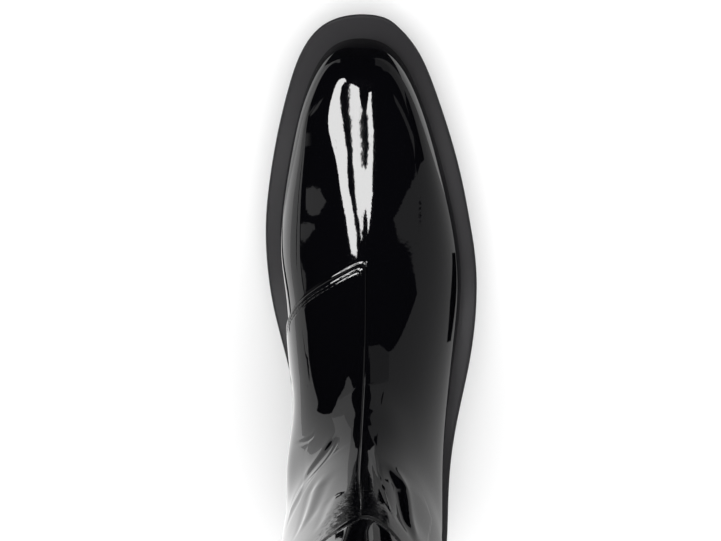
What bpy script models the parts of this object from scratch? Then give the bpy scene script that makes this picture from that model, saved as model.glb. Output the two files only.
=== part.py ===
"""Right thigh-high boot: a moulded rubber sole with a low block heel, an insole, a lasted upper and a shaft.

The boot stands on the floor with its toe towards -Y, its medial side towards +X and its leg along +Z.
Tables are in millimetres. from_toe is measured back from the front of the sole.
"""

import bmesh
import bpy
import numpy as np

MM = 0.001
BOX_MIDDLE = 145.0
FIT_GAP = 0.4

# Sole heights
FOREFOOT_HEIGHT = 24.0
HEEL_RISE = 20.0
RISE_START = 112.0
RISE_LENGTH = 100.0
TOE_LIFT_TOP = 7.0
TOE_LIFT_BOTTOM = 9.0
TOE_LIFT_LENGTH = 62.0
ARCH_START = 128.0
ARCH_LENGTH = 62.0
ARCH_HEIGHT = 17.0
BREAST_FRONT = 198.0
BREAST_BACK = 199.5

# Sole wall, from the floor up: how far each edge stands in from the rim
TOE_UNDERCUT = 6.5
SIDE_UNDERCUT = 3.0
UNDERCUT_LENGTH = 70.0
FLOOR_CHAMFER = 1.5
RIM_ROUND = 2.4

# Tread bars are left standing between these cross grooves
GROOVES_FROM_TOE = (70.0, 83.0, 96.0, 109.0, 216.0, 230.0, 244.0, 258.0)
GROOVE_WIDTH = 4.5
GROOVE_DEPTH = 2.5
GROOVE_MARGIN = 11.0

# Walls and sheets
UPPER_WALL = 2.0
SHAFT_WALL = 1.6
INSOLE_THICKNESS = 3.0
INSOLE_CLEARANCE = 1.2

# Ankle lap: the shaft starts on this section and covers the upper's edge
SHAFT_START = 24.0
UPPER_END = 24.8
LAP_GAP = 0.4
LAP_END = 28.0

# How finely the solids are divided
SOLE_STEPS = 46
FOOT_STEPS = 34
ANKLE_STEPS = 12
SHAFT_STEPS = 24
AROUND_STEPS = 17

# Plan of the sole's rim: distance from the toe, medial side, lateral side
OUTLINE_COLUMNS = ("from_toe", "medial", "lateral")
OUTLINE = (
    (0.0, 3.1, 3.1),
    (1.5, 13.6, -6.6),
    (6.0, 22.0, -13.0),
    (13.5, 28.4, -19.4),
    (24.0, 33.4, -25.2),
    (38.0, 37.7, -30.5),
    (56.0, 42.0, -36.4),
    (76.0, 45.5, -41.8),
    (96.0, 47.6, -45.8),
    (116.0, 47.3, -48.8),
    (138.0, 44.2, -49.1),
    (162.0, 37.6, -46.0),
    (188.0, 31.9, -40.4),
    (214.0, 30.6, -37.3),
    (238.0, 32.3, -36.7),
    (257.0, 31.2, -34.8),
    (272.0, 24.2, -27.6),
    (281.0, 12.2, -15.6),
    (284.0, -1.7, -1.7),
)

# Sections of the upper and shaft. Each lies in a plane from a base point, on the feather line or up the
# back of the leg, to a top point on the centre front. rise is the base's height over the sole, tuck the
# angle at which the section leaves its base (0 is a closed loop). sway moves the middle of a section
# to the medial side. A power of 2 is an ellipse and more is boxier, and pear narrows the front.
SECTION_COLUMNS = (
    "base_from_toe",
    "rise",
    "top_from_toe",
    "top_height",
    "base_side",
    "top_side",
    "sway",
    "half_width",
    "tuck",
    "power",
    "pear",
)
SECTIONS = (
    (11.0, 0.4, 11.0, 29.1, 4.0, 4.0, 0.0, 0.0, 86.0, 2.90, 0.000),
    (12.2, 0.4, 12.2, 39.0, 4.0, 3.8, 0.0, 7.7, 86.0, 2.90, 0.000),
    (15.7, 0.4, 15.7, 46.4, 4.0, 3.6, 0.0, 13.7, 86.0, 2.90, 0.000),
    (21.4, 0.4, 21.4, 51.2, 3.9, 3.4, 0.0, 18.5, 86.0, 2.90, 0.000),
    (29.4, 0.4, 29.4, 54.3, 3.7, 3.2, 0.0, 22.8, 86.0, 2.90, 0.000),
    (40.2, 0.4, 40.2, 56.4, 3.4, 3.0, 0.0, 27.0, 86.0, 2.90, 0.000),
    (54.0, 0.4, 54.0, 58.7, 2.8, 2.8, 0.0, 31.1, 86.0, 2.85, 0.000),
    (71.0, 0.4, 71.0, 62.4, 2.0, 2.6, 0.0, 35.2, 86.0, 2.70, 0.010),
    (90.0, 0.4, 89.5, 68.2, 1.0, 2.4, 0.0, 38.8, 85.0, 2.50, 0.020),
    (110.0, 0.4, 107.5, 75.2, -0.6, 2.0, 0.0, 40.6, 83.0, 2.30, 0.040),
    (132.0, 0.4, 123.0, 82.8, -2.6, 1.5, 0.0, 39.4, 79.0, 2.15, 0.070),
    (158.0, 0.4, 136.8, 91.7, -2.6, 1.1, 0.3, 37.0, 70.5, 2.05, 0.080),
    (186.0, 0.4, 148.0, 101.8, -2.4, 0.9, 0.9, 34.6, 60.0, 2.00, 0.090),
    (214.0, 0.4, 156.3, 112.6, -2.1, 0.8, 1.5, 33.8, 55.5, 2.00, 0.090),
    (240.0, 0.4, 162.4, 123.8, -1.9, 0.8, 2.0, 34.2, 55.0, 2.00, 0.100),
    (261.0, 0.4, 166.8, 135.2, -1.8, 0.8, 2.3, 34.8, 46.0, 2.00, 0.110),
    (274.5, 0.4, 169.9, 146.6, -1.7, 0.8, 2.4, 35.2, 23.2, 2.00, 0.120),
    (279.0, 0.4, 171.9, 157.6, -1.4, 0.8, 2.4, 35.4, 0.0, 2.00, 0.135),
    (281.0, 14.0, 173.1, 167.6, -0.6, 0.8, 2.3, 35.4, 0.0, 2.00, 0.155),
    (281.4, 32.0, 173.7, 176.2, 0.5, 0.8, 2.1, 35.3, 0.0, 2.00, 0.175),
    (279.8, 53.0, 173.9, 183.4, 1.2, 0.8, 1.8, 35.6, 0.0, 2.00, 0.200),
    (276.4, 76.0, 174.0, 189.3, 1.7, 0.8, 1.5, 35.7, 0.0, 2.00, 0.225),
    (273.2, 99.0, 174.0, 194.2, 2.1, 0.8, 1.2, 35.7, 0.0, 2.00, 0.245),
    (271.0, 121.0, 174.0, 198.3, 2.2, 0.8, 1.0, 35.6, 0.0, 2.00, 0.260),
    (269.8, 141.0, 174.0, 202.4, 2.2, 0.8, 0.8, 35.5, 0.0, 2.00, 0.270),
    (269.4, 160.0, 174.0, 208.6, 2.0, 0.8, 0.6, 35.6, 0.0, 2.00, 0.270),
    (270.4, 180.0, 174.0, 219.4, 1.8, 0.8, 0.5, 36.2, 0.0, 2.00, 0.260),
    (273.2, 204.0, 173.7, 238.0, 1.5, 0.8, 0.3, 38.2, 0.0, 2.00, 0.230),
    (277.6, 233.0, 172.9, 268.0, 1.2, 0.7, 0.2, 41.8, 0.0, 2.00, 0.180),
    (283.4, 268.0, 171.5, 307.0, 0.9, 0.5, 0.1, 47.6, 0.0, 2.00, 0.120),
    (288.4, 309.0, 170.0, 351.0, 0.6, 0.3, 0.0, 52.6, 0.0, 2.00, 0.065),
    (288.8, 354.0, 169.0, 397.0, 0.2, 0.2, 0.0, 54.0, 0.0, 2.00, 0.020),
    (283.4, 400.0, 167.6, 443.0, 0.0, 0.1, 0.0, 52.8, 0.0, 2.00, -0.010),
    (276.6, 447.0, 164.6, 490.0, 0.0, 0.0, 0.0, 52.4, 0.0, 2.00, -0.020),
    (273.8, 493.0, 160.0, 536.0, 0.0, 0.0, 0.0, 55.0, 0.0, 2.00, -0.015),
    (276.4, 537.0, 154.6, 581.0, 0.0, 0.0, 0.0, 60.0, 0.0, 2.00, -0.005),
    (281.6, 578.0, 148.6, 623.0, 0.0, 0.0, 0.0, 65.4, 0.0, 2.00, 0.000),
    (286.6, 616.0, 143.0, 661.0, 0.0, 0.0, 0.0, 69.8, 0.0, 2.00, 0.000),
    (290.0, 650.0, 138.6, 696.0, 0.0, 0.0, 0.0, 73.0, 0.0, 2.00, 0.000),
)
CLOSING = 17
LAST = len(SECTIONS) - 1


def spline(values, at, start=None, end=None):
    """A smooth curve through evenly numbered values; start and end fix its slopes where they are given."""
    values = np.asarray(values, dtype=float)
    count = len(values)
    matrix = np.zeros((count, count))
    right = np.zeros(count)
    for i in range(1, count - 1):
        matrix[i, i - 1 : i + 2] = (1.0, 4.0, 1.0)
        right[i] = 3.0 * (values[i + 1] - values[i - 1])
    matrix[0, :2] = (1.0, 0.0) if start is not None else (2.0, 1.0)
    right[0] = start if start is not None else 3.0 * (values[1] - values[0])
    matrix[-1, -2:] = (0.0, 1.0) if end is not None else (1.0, 2.0)
    right[-1] = end if end is not None else 3.0 * (values[-1] - values[-2])
    slopes = np.linalg.solve(matrix, right)
    at = np.asarray(at, dtype=float)
    low = np.clip(at.astype(int), 0, count - 2)
    t = at - low
    rise = values[low + 1] - values[low]
    bend_low = slopes[low] - rise
    bend_high = rise - slopes[low + 1]
    return values[low] + t * rise + t * (1.0 - t) * ((1.0 - t) * bend_low + t * bend_high)


def eased(x):
    """A smooth step from 0 to 1."""
    x = np.clip(x, 0.0, 1.0)
    return x * x * x * (10.0 - 15.0 * x + 6.0 * x * x)


def sole_top(from_toe):
    """Height of the sole's upper face: toe spring, flat forefoot, then up to the heel."""
    lift = TOE_LIFT_TOP * np.clip(1.0 - from_toe / TOE_LIFT_LENGTH, 0.0, None) ** 2
    return FOREFOOT_HEIGHT + lift + HEEL_RISE * eased((from_toe - RISE_START) / RISE_LENGTH)


def sole_bottom(from_toe):
    """Height of the sole's underside: toe spring, flat tread, arch, then the flat heel."""
    lift = TOE_LIFT_BOTTOM * np.clip(1.0 - from_toe / TOE_LIFT_LENGTH, 0.0, None) ** 2
    arch = ARCH_HEIGHT * eased((from_toe - ARCH_START) / ARCH_LENGTH)
    heel = np.clip((from_toe - BREAST_FRONT) / (BREAST_BACK - BREAST_FRONT), 0.0, 1.0)
    return lift + arch * (1.0 - heel)


def undercut(from_toe):
    """How far the tread stands in from the rim."""
    more = eased(1.0 - from_toe / UNDERCUT_LENGTH)
    return SIDE_UNDERCUT + (TOE_UNDERCUT - SIDE_UNDERCUT) * more


def place(from_toe, side, height):
    """Points in the boot's frame, in metres."""
    from_toe, side, height = np.broadcast_arrays(from_toe, side, height)
    return np.stack((side, from_toe - BOX_MIDDLE, height), axis=-1) * MM


def inset(curve, distance):
    """Moves one half of a plan, rows of from_toe and side, in by a distance along its normals."""
    step = np.gradient(curve, axis=0)
    step[0, 0] = step[-1, 0] = 0.0
    inward = np.stack((step[:, 1], -step[:, 0]), axis=1)
    inward /= np.linalg.norm(inward, axis=1, keepdims=True)
    half = 1.0 if curve[:, 1].mean() > 0.0 else -1.0
    return curve + half * inward * np.reshape(distance, (-1, 1))


def rim_sides():
    """The medial and lateral halves of the rim's plan, from the toe to the back of the heel."""
    table = dict(zip(OUTLINE_COLUMNS, np.array(OUTLINE).T))
    last = len(OUTLINE) - 1.0
    numbers = np.linspace(0.0, last, SOLE_STEPS + 1)
    fine = np.linspace(0.0, last, 2000)
    fine_along = spline(table["from_toe"], fine, start=0.0, end=0.0)
    along = spline(table["from_toe"], numbers, start=0.0, end=0.0)
    front = int(np.argmin(np.abs(along - BREAST_FRONT)))
    numbers[front] = np.interp(BREAST_FRONT, fine_along, fine)
    numbers = np.insert(numbers, front + 1, np.interp(BREAST_BACK, fine_along, fine))
    along = spline(table["from_toe"], numbers, start=0.0, end=0.0)
    medial = np.stack((along, spline(table["medial"], numbers)), axis=1)
    lateral = np.stack((along, spline(table["lateral"], numbers)), axis=1)
    return medial, lateral


def section_values(numbers):
    """The table's columns at these section numbers, as a dictionary of arrays."""
    table = dict(zip(SECTION_COLUMNS, np.array(SECTIONS).T))
    found = {name: spline(column, numbers) for name, column in table.items()}
    is_open = numbers <= CLOSING
    foot = np.minimum(numbers, CLOSING)
    leg = np.maximum(numbers, CLOSING) - CLOSING
    for name in ("base_from_toe", "rise", "tuck"):
        slopes = (0.0, 0.0) if name == "base_from_toe" else (None, None)
        in_foot = spline(table[name][: CLOSING + 1], foot, *slopes)
        in_leg = spline(table[name][CLOSING:], leg)
        found[name] = np.where(is_open, in_foot, in_leg)
    found["tuck"] = np.where(is_open, np.maximum(found["tuck"], 0.0), 0.0)
    return found


def leather_points(numbers, around):
    """The outer surface: a row of points a section, from its medial base over the front to the lateral."""
    row = {name: column[:, None] for name, column in section_values(numbers).items()}
    share = np.abs(around)[None, :]
    start = np.radians(row["tuck"])
    angle = start + (np.pi - start) * (1.0 - share)
    power = np.where(angle > np.pi / 2.0, row["power"], 2.0)
    spread = np.abs(np.sin(angle)) ** power + np.abs(np.cos(angle)) ** power
    reach = spread ** (-1.0 / power)
    up = (np.cos(start) - reach * np.cos(angle)) / (1.0 + np.cos(start))
    shape = reach * np.sin(angle) * (1.0 + row["pear"] * np.cos(angle))
    out = row["half_width"] * shape * np.sign(around)[None, :]
    base_height = sole_top(row["base_from_toe"]) + row["rise"]
    along = row["base_from_toe"] + (row["top_from_toe"] - row["base_from_toe"]) * up
    middle = row["base_side"] + (row["top_side"] - row["base_side"]) * up
    side = middle + row["sway"] * 4.0 * up * (1.0 - up) + out
    height = base_height + (row["top_height"] - base_height) * up
    return place(along, side, height)


def around_shares():
    """Shares from 1 at the medial base through 0 at the centre front to -1 at the lateral base."""
    return np.linspace(1.0, -1.0, 2 * AROUND_STEPS + 1)


def grid_object(name, points, collection):
    """An open surface from rows of points; points that coincide are welded."""
    mesh = bpy.data.meshes.new(name)
    model = bmesh.new()
    rows = [[model.verts.new(point) for point in row] for row in points]
    for low, high in zip(rows, rows[1:]):
        for i in range(len(low) - 1):
            model.faces.new((low[i], high[i], high[i + 1], low[i + 1]))
    bmesh.ops.remove_doubles(model, verts=model.verts, dist=0.05 * MM)
    bmesh.ops.dissolve_degenerate(model, edges=model.edges, dist=1e-6)
    model.to_mesh(mesh)
    model.free()
    made = bpy.data.objects.new(name, mesh)
    collection.objects.link(made)
    return made


def ladder_object(name, loops, collection):
    """A closed solid from stacked plan loops, each of a medial and a lateral row that meet at both ends."""
    mesh = bpy.data.meshes.new(name)
    model = bmesh.new()
    rings = []
    for medial, lateral in loops:
        near = [model.verts.new(point) for point in medial]
        far = [model.verts.new(point) for point in lateral]
        rings.append((near, far))
    for low, high in zip(rings, rings[1:]):
        for i in range(len(low[0]) - 1):
            model.faces.new((low[0][i], low[0][i + 1], high[0][i + 1], high[0][i]))
            model.faces.new((low[1][i + 1], low[1][i], high[1][i], high[1][i + 1]))
    for (near, far), turned in ((rings[0], True), (rings[-1], False)):
        for i in range(len(near) - 1):
            corners = (near[i], near[i + 1], far[i + 1], far[i])
            model.faces.new(corners[::-1] if turned else corners)
    bmesh.ops.remove_doubles(model, verts=model.verts, dist=0.05 * MM)
    bmesh.ops.dissolve_degenerate(model, edges=model.edges, dist=1e-6)
    bmesh.ops.recalc_face_normals(model, faces=model.faces)
    model.to_mesh(mesh)
    model.free()
    made = bpy.data.objects.new(name, mesh)
    collection.objects.link(made)
    return made


def material(name, colour, roughness):
    made = bpy.data.materials.new(name)
    made.use_nodes = True
    shader = made.node_tree.nodes["Principled BSDF"]
    shader.inputs["Base Color"].default_value = (*colour, 1.0)
    shader.inputs["Roughness"].default_value = roughness
    shader.inputs["Metallic"].default_value = 0.0
    return made


def finish(made, look):
    made.data.materials.append(look)
    made.data.shade_smooth()
    made.data.set_sharp_from_angle(angle=np.radians(35.0))


def thicken(made, wall):
    """Gives an open surface a wall on its inner side."""
    shell = made.modifiers.new("Wall", "SOLIDIFY")
    shell.thickness = wall * MM
    shell.offset = -1.0
    shell.use_quality_normals = True


def make_outsole(parts, cutters):
    sides = rim_sides()
    levels = (
        (FLOOR_CHAMFER, 0.0, "bottom"),
        (0.0, FLOOR_CHAMFER, "bottom"),
        (0.0, -RIM_ROUND, "top"),
        (0.3 * RIM_ROUND, -0.3 * RIM_ROUND, "top"),
        (RIM_ROUND, 0.0, "top"),
    )
    loops = []
    for move, lift, face in levels:
        loop = []
        under = undercut(sides[0][:, 0]) if face == "bottom" else 0.0
        for rim in sides:
            curve = inset(rim, move + under + np.zeros(len(rim)))
            height = sole_bottom if face == "bottom" else sole_top
            station = sides[0][:, 0] if face == "bottom" else curve[:, 0]
            loop.append(place(curve[:, 0], curve[:, 1], height(station) + lift))
        loops.append(loop)
    sole = ladder_object("outsole", loops, parts)
    table = dict(zip(OUTLINE_COLUMNS, np.array(OUTLINE).T))
    for number, from_toe in enumerate(GROOVES_FROM_TOE):
        medial = np.interp(from_toe, table["from_toe"], table["medial"]) - GROOVE_MARGIN
        lateral = np.interp(from_toe, table["from_toe"], table["lateral"]) + GROOVE_MARGIN
        middle = place(from_toe, (medial + lateral) / 2.0, 0.0)
        bpy.ops.mesh.primitive_cube_add(size=1.0, location=middle)
        cutter = bpy.context.active_object
        cutter.name = f"groove_cutter_{number + 1}"
        cutter.scale = ((medial - lateral) * MM, GROOVE_WIDTH * MM, 2.0 * GROOVE_DEPTH * MM)
        cutter.hide_render = True
        cutter.display_type = "WIRE"
        for home in list(cutter.users_collection):
            home.objects.unlink(cutter)
        cutters.objects.link(cutter)
        cut = sole.modifiers.new(f"Groove {number + 1}", "BOOLEAN")
        cut.operation = "DIFFERENCE"
        cut.object = cutter
    return sole


def make_insole(parts):
    numbers = np.linspace(0.0, CLOSING, SOLE_STEPS + 1)
    shares = np.array((1.0, -1.0))
    feather = leather_points(numbers, shares) / MM
    along = feather[:, 0, 1] + BOX_MIDDLE
    sides = (
        np.stack((along, feather[:, 0, 0]), axis=1),
        np.stack((along, feather[:, 1, 0]), axis=1),
    )
    sides = [inset(curve, np.full(len(along), UPPER_WALL + INSOLE_CLEARANCE)) for curve in sides]
    loops = []
    for lift in (FIT_GAP, FIT_GAP + INSOLE_THICKNESS):
        loop = [place(curve[:, 0], curve[:, 1], sole_top(curve[:, 0]) + lift) for curve in sides]
        loops.append(loop)
    return ladder_object("insole", loops, parts)


def make_upper(parts):
    foot = np.linspace(0.0, CLOSING, FOOT_STEPS + 1)
    ankle = np.linspace(CLOSING, UPPER_END, ANKLE_STEPS + 1)
    numbers = np.concatenate((foot, ankle[1:]))
    upper = grid_object("upper", leather_points(numbers, around_shares()), parts)
    thicken(upper, UPPER_WALL)
    return upper


def make_shaft(parts):
    numbers = np.linspace(SHAFT_START, LAST, SHAFT_STEPS + 1)
    points = leather_points(numbers, around_shares())
    up = np.gradient(points, axis=0)
    round_step = np.gradient(points, axis=1)
    round_step[:, 0] = round_step[:, -1] = points[:, 1] - points[:, -2]
    normal = np.cross(up, round_step)
    normal /= np.linalg.norm(normal, axis=2, keepdims=True)
    lap = (SHAFT_WALL + LAP_GAP) * MM * eased((LAP_END - numbers) / (LAP_END - UPPER_END))
    shaft = grid_object("shaft", points + normal * lap[:, None, None], parts)
    thicken(shaft, SHAFT_WALL)
    return shaft


def main():
    for old in list(bpy.data.objects):
        bpy.data.objects.remove(old, do_unlink=True)
    parts = bpy.data.collections.new("thigh_high_boot")
    cutters = bpy.data.collections.new("cutters")
    for collection in (parts, cutters):
        bpy.context.scene.collection.children.link(collection)
    finish(make_outsole(parts, cutters), material("sole_rubber", (0.040, 0.039, 0.042), 0.65))
    finish(make_insole(parts), material("sock_leather", (0.020, 0.019, 0.018), 0.70))
    finish(make_upper(parts), material("upper_patent_leather", (0.004, 0.004, 0.005), 0.08))
    finish(make_shaft(parts), material("shaft_patent_leather", (0.004, 0.004, 0.005), 0.08))


main()
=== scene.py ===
"""Looks of a right thigh-high boot in black patent leather on a moulded rubber sole."""

import bmesh
import bpy
import numpy as np
from bpy.props import FloatProperty, FloatVectorProperty, PointerProperty
from mathutils import Matrix, Vector


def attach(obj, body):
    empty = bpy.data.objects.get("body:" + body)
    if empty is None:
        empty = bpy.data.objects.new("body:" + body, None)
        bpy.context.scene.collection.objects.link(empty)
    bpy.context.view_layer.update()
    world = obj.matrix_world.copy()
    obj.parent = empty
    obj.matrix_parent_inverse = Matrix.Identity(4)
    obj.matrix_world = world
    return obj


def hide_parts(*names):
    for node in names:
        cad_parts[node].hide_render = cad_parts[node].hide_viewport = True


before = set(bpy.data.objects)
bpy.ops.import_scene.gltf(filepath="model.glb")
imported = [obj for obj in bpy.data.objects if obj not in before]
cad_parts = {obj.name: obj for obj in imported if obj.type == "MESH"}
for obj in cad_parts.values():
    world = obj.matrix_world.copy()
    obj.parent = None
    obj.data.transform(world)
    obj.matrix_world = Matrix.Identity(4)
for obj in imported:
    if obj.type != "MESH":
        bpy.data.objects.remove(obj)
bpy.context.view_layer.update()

bl_info = {
    "name": "Thigh-high boot",
    "version": (1, 0, 0),
    "blender": (4, 5, 0),
    "location": "View3D > Sidebar > Boot",
    "description": "Builds the looks of a right thigh-high boot around its packed frame",
    "category": "Add Mesh",
}

# One millimetre in metres, and in millimetres the box's middle behind the toe and the gap under the insole
MM = 0.001
BOX_MIDDLE = 145.0
FIT_GAP = 0.4

# Sizes of the sole and insole in millimetres, as in the part's source but for a smaller rim round
FOREFOOT_HEIGHT = 24.0
HEEL_RISE = 20.0
RISE_START = 112.0
RISE_LENGTH = 100.0
TOE_LIFT_TOP = 7.0
TOE_LIFT_BOTTOM = 9.0
TOE_LIFT_LENGTH = 62.0
ARCH_START = 128.0
ARCH_LENGTH = 62.0
ARCH_HEIGHT = 17.0
BREAST_FRONT = 198.0
BREAST_BACK = 199.5
TOE_UNDERCUT = 6.5
SIDE_UNDERCUT = 3.0
UNDERCUT_LENGTH = 70.0
FLOOR_CHAMFER = 1.5
RIM_ROUND = 1.4
GROOVES_FROM_TOE = (70.0, 83.0, 96.0, 109.0, 216.0, 230.0, 244.0, 258.0)
GROOVE_WIDTH = 4.5
GROOVE_DEPTH = 2.5
GROOVE_MARGIN = 11.0
INSOLE_CLEARANCE = 1.2

# The insole's rounded edge: how far each loop stands in, and how high it lies
INSOLE_LOOPS = ((0.6, 0.0), (0.0, 0.6), (0.0, 2.2), (0.25, 2.7), (0.8, 3.0))

# Plan of the sole's rim: distance from the toe, medial side, lateral side
OUTLINE_COLUMNS = ("from_toe", "medial", "lateral")
OUTLINE = (
    (0.0, 3.1, 3.1),
    (1.5, 13.6, -6.6),
    (6.0, 22.0, -13.0),
    (13.5, 28.4, -19.4),
    (24.0, 33.4, -25.2),
    (38.0, 37.7, -30.5),
    (56.0, 42.0, -36.4),
    (76.0, 45.5, -41.8),
    (96.0, 47.6, -45.8),
    (116.0, 47.3, -48.8),
    (138.0, 44.2, -49.1),
    (162.0, 37.6, -46.0),
    (188.0, 31.9, -40.4),
    (214.0, 30.6, -37.3),
    (238.0, 32.3, -36.7),
    (257.0, 31.2, -34.8),
    (272.0, 24.2, -27.6),
    (281.0, 12.2, -15.6),
    (284.0, -1.7, -1.7),
)

# Sections of the upper and shaft: a base point on the feather line or up the back of the leg, a top point on
# the centre front, and the shape between them. They follow the part's source, with a boxier toe and a fuller
# medial side
SECTION_COLUMNS = (
    "base_from_toe",
    "rise",
    "top_from_toe",
    "top_height",
    "base_side",
    "top_side",
    "sway",
    "half_width",
    "tuck",
    "lateral_power",
    "medial_power",
    "pear",
)
SECTIONS = (
    (11.0, 0.4, 11.0, 29.1, 4.0, 4.0, 0.0, 0.0, 86.0, 3.20, 4.60, 0.000),
    (12.2, 0.4, 12.2, 39.6, 4.0, 3.8, 0.0, 7.7, 86.0, 3.20, 4.60, 0.000),
    (15.7, 0.4, 15.7, 47.8, 4.0, 3.6, 0.0, 13.7, 86.0, 3.30, 4.80, 0.000),
    (21.4, 0.4, 21.4, 52.4, 3.9, 3.4, 0.0, 18.5, 86.0, 3.40, 5.10, 0.000),
    (29.4, 0.4, 29.4, 54.7, 3.7, 3.2, 0.0, 22.8, 86.0, 3.50, 5.20, 0.000),
    (40.2, 0.4, 40.2, 56.5, 3.4, 3.0, 0.0, 27.0, 86.0, 3.40, 5.00, 0.000),
    (54.0, 0.4, 54.0, 58.7, 2.8, 2.8, 0.0, 31.1, 86.0, 3.10, 3.50, 0.000),
    (71.0, 0.4, 71.0, 62.4, 2.0, 2.6, 0.0, 35.2, 86.0, 2.70, 2.80, 0.010),
    (90.0, 0.4, 89.5, 68.2, 1.0, 2.4, 0.0, 38.8, 85.0, 2.35, 2.50, 0.020),
    (110.0, 0.4, 107.5, 75.2, -0.6, 2.0, 0.0, 40.6, 83.0, 2.10, 2.55, 0.040),
    (132.0, 0.4, 123.0, 82.8, -2.6, 1.5, 0.0, 39.4, 79.0, 2.00, 2.75, 0.070),
    (158.0, 0.4, 136.8, 91.7, -2.6, 1.1, 0.3, 37.0, 70.5, 2.00, 2.90, 0.080),
    (186.0, 0.4, 148.0, 101.8, -2.4, 0.9, 0.9, 34.6, 60.0, 2.00, 2.80, 0.090),
    (214.0, 0.4, 156.3, 112.6, -2.1, 0.8, 1.5, 33.8, 55.5, 2.00, 2.40, 0.090),
    (240.0, 0.4, 162.4, 123.8, -1.9, 0.8, 2.0, 34.2, 55.0, 2.00, 2.15, 0.100),
    (261.0, 0.4, 166.8, 135.2, -1.8, 0.8, 2.3, 34.8, 46.0, 2.00, 2.00, 0.110),
    (274.5, 0.4, 169.9, 146.6, -1.7, 0.8, 2.4, 35.2, 23.2, 2.00, 2.00, 0.120),
    (279.0, 0.4, 171.9, 157.6, -1.4, 0.8, 2.4, 35.4, 0.0, 2.00, 2.00, 0.135),
    (281.0, 14.0, 173.1, 167.6, -0.6, 0.8, 2.3, 35.4, 0.0, 2.00, 2.00, 0.155),
    (281.4, 32.0, 173.7, 176.2, 0.5, 0.8, 2.1, 35.3, 0.0, 2.00, 2.00, 0.175),
    (279.8, 53.0, 173.9, 183.4, 1.2, 0.8, 1.8, 35.6, 0.0, 2.00, 2.00, 0.200),
    (276.4, 76.0, 174.0, 189.3, 1.7, 0.8, 1.5, 35.7, 0.0, 2.00, 2.00, 0.225),
    (273.2, 99.0, 174.0, 194.2, 2.1, 0.8, 1.2, 35.7, 0.0, 2.00, 2.00, 0.245),
    (271.0, 121.0, 174.0, 198.3, 2.2, 0.8, 1.0, 35.6, 0.0, 2.00, 2.00, 0.260),
    (269.8, 141.0, 174.0, 202.4, 2.2, 0.8, 0.8, 35.5, 0.0, 2.00, 2.00, 0.270),
    (269.4, 160.0, 174.0, 208.6, 2.0, 0.8, 0.6, 35.6, 0.0, 2.00, 2.00, 0.270),
    (270.4, 180.0, 174.0, 219.4, 1.8, 0.8, 0.5, 36.2, 0.0, 2.00, 2.00, 0.260),
    (273.2, 204.0, 173.7, 238.0, 1.5, 0.8, 0.3, 38.2, 0.0, 2.00, 2.00, 0.230),
    (277.6, 233.0, 172.9, 268.0, 1.2, 0.7, 0.2, 41.8, 0.0, 2.00, 2.00, 0.180),
    (283.4, 268.0, 171.5, 307.0, 0.9, 0.5, 0.1, 47.6, 0.0, 2.00, 2.00, 0.120),
    (288.4, 309.0, 170.0, 351.0, 0.6, 0.3, 0.0, 52.6, 0.0, 2.00, 2.00, 0.065),
    (288.8, 354.0, 169.0, 397.0, 0.2, 0.2, 0.0, 54.0, 0.0, 2.00, 2.00, 0.020),
    (283.4, 400.0, 167.6, 443.0, 0.0, 0.1, 0.0, 52.8, 0.0, 2.00, 2.00, -0.010),
    (276.6, 447.0, 164.6, 490.0, 0.0, 0.0, 0.0, 52.4, 0.0, 2.00, 2.00, -0.020),
    (273.8, 493.0, 160.0, 536.0, 0.0, 0.0, 0.0, 55.0, 0.0, 2.00, 2.00, -0.015),
    (276.4, 537.0, 154.6, 581.0, 0.0, 0.0, 0.0, 60.0, 0.0, 2.00, 2.00, -0.005),
    (281.6, 578.0, 148.6, 623.0, 0.0, 0.0, 0.0, 65.4, 0.0, 2.00, 2.00, 0.000),
    (286.6, 616.0, 143.0, 661.0, 0.0, 0.0, 0.0, 69.8, 0.0, 2.00, 2.00, 0.000),
    (290.0, 650.0, 138.6, 696.0, 0.0, 0.0, 0.0, 73.0, 0.0, 2.00, 2.00, 0.000),
)

# Section numbers: where the two sides close at the heel, the collar, the first one whose inside is wider than
# its walls, and the lap of the shaft over the foot at the ankle, with its gap in millimetres
CLOSING = 17
LAST = len(SECTIONS) - 1
TOE_CLOSED = 0.6
SHAFT_START = 24.0
UPPER_END = 24.8
LAP_END = 28.0
LAP_GAP = 0.4

# The ankle edge: lowest at a share near the centre front, its rise in sections on each side and at the back,
# its reach in shares on each side, the share where the back begins, and the sections that it fades out over
EDGE_LOWEST = -0.03
EDGE_RISE_MEDIAL = 1.7
EDGE_RISE_LATERAL = 1.3
EDGE_RISE_BACK = 1.3
EDGE_REACH_MEDIAL = 0.105
EDGE_REACH_LATERAL = 0.127
EDGE_BACK = 0.25
EDGE_FADE = 8.0

# The lapped seam on the medial side: its section number at even shares from the centre front to the sole, the
# row of the grid that follows it, and the rows and the lateral share over which the grid swings back
LAP_SECTIONS = (8.70, 9.09, 9.65, 10.29, 10.72, 11.05)
LAP_ROW = 9.7
LAP_BAND = 0.3
LAP_REACH = 5.0
LAP_SWING = 0.7

# The lapped quarter in millimetres: its corner, its edge's rounding, and the distances over which its height
# falls off behind the seam, to a share that is left, and inside its edge
LAP_CORNER = 4.0
LAP_ROUND = 0.7
LAP_FALL_BEHIND = 25.0
LAP_LEFT = 0.15
LAP_FALL_INSIDE = 28.0

# Stitch rows in millimetres from the edges that they follow, the share of the medial side down to which the
# lap's rows are sewn, and a stitch's share of the pitch
STITCH_ROWS = (2.2, 3.6)
ANKLE_STITCH = 3.0
COLLAR_STITCH = 7.0
LAP_STITCH_END = 0.95
STITCH_SHARE = 0.8

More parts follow.
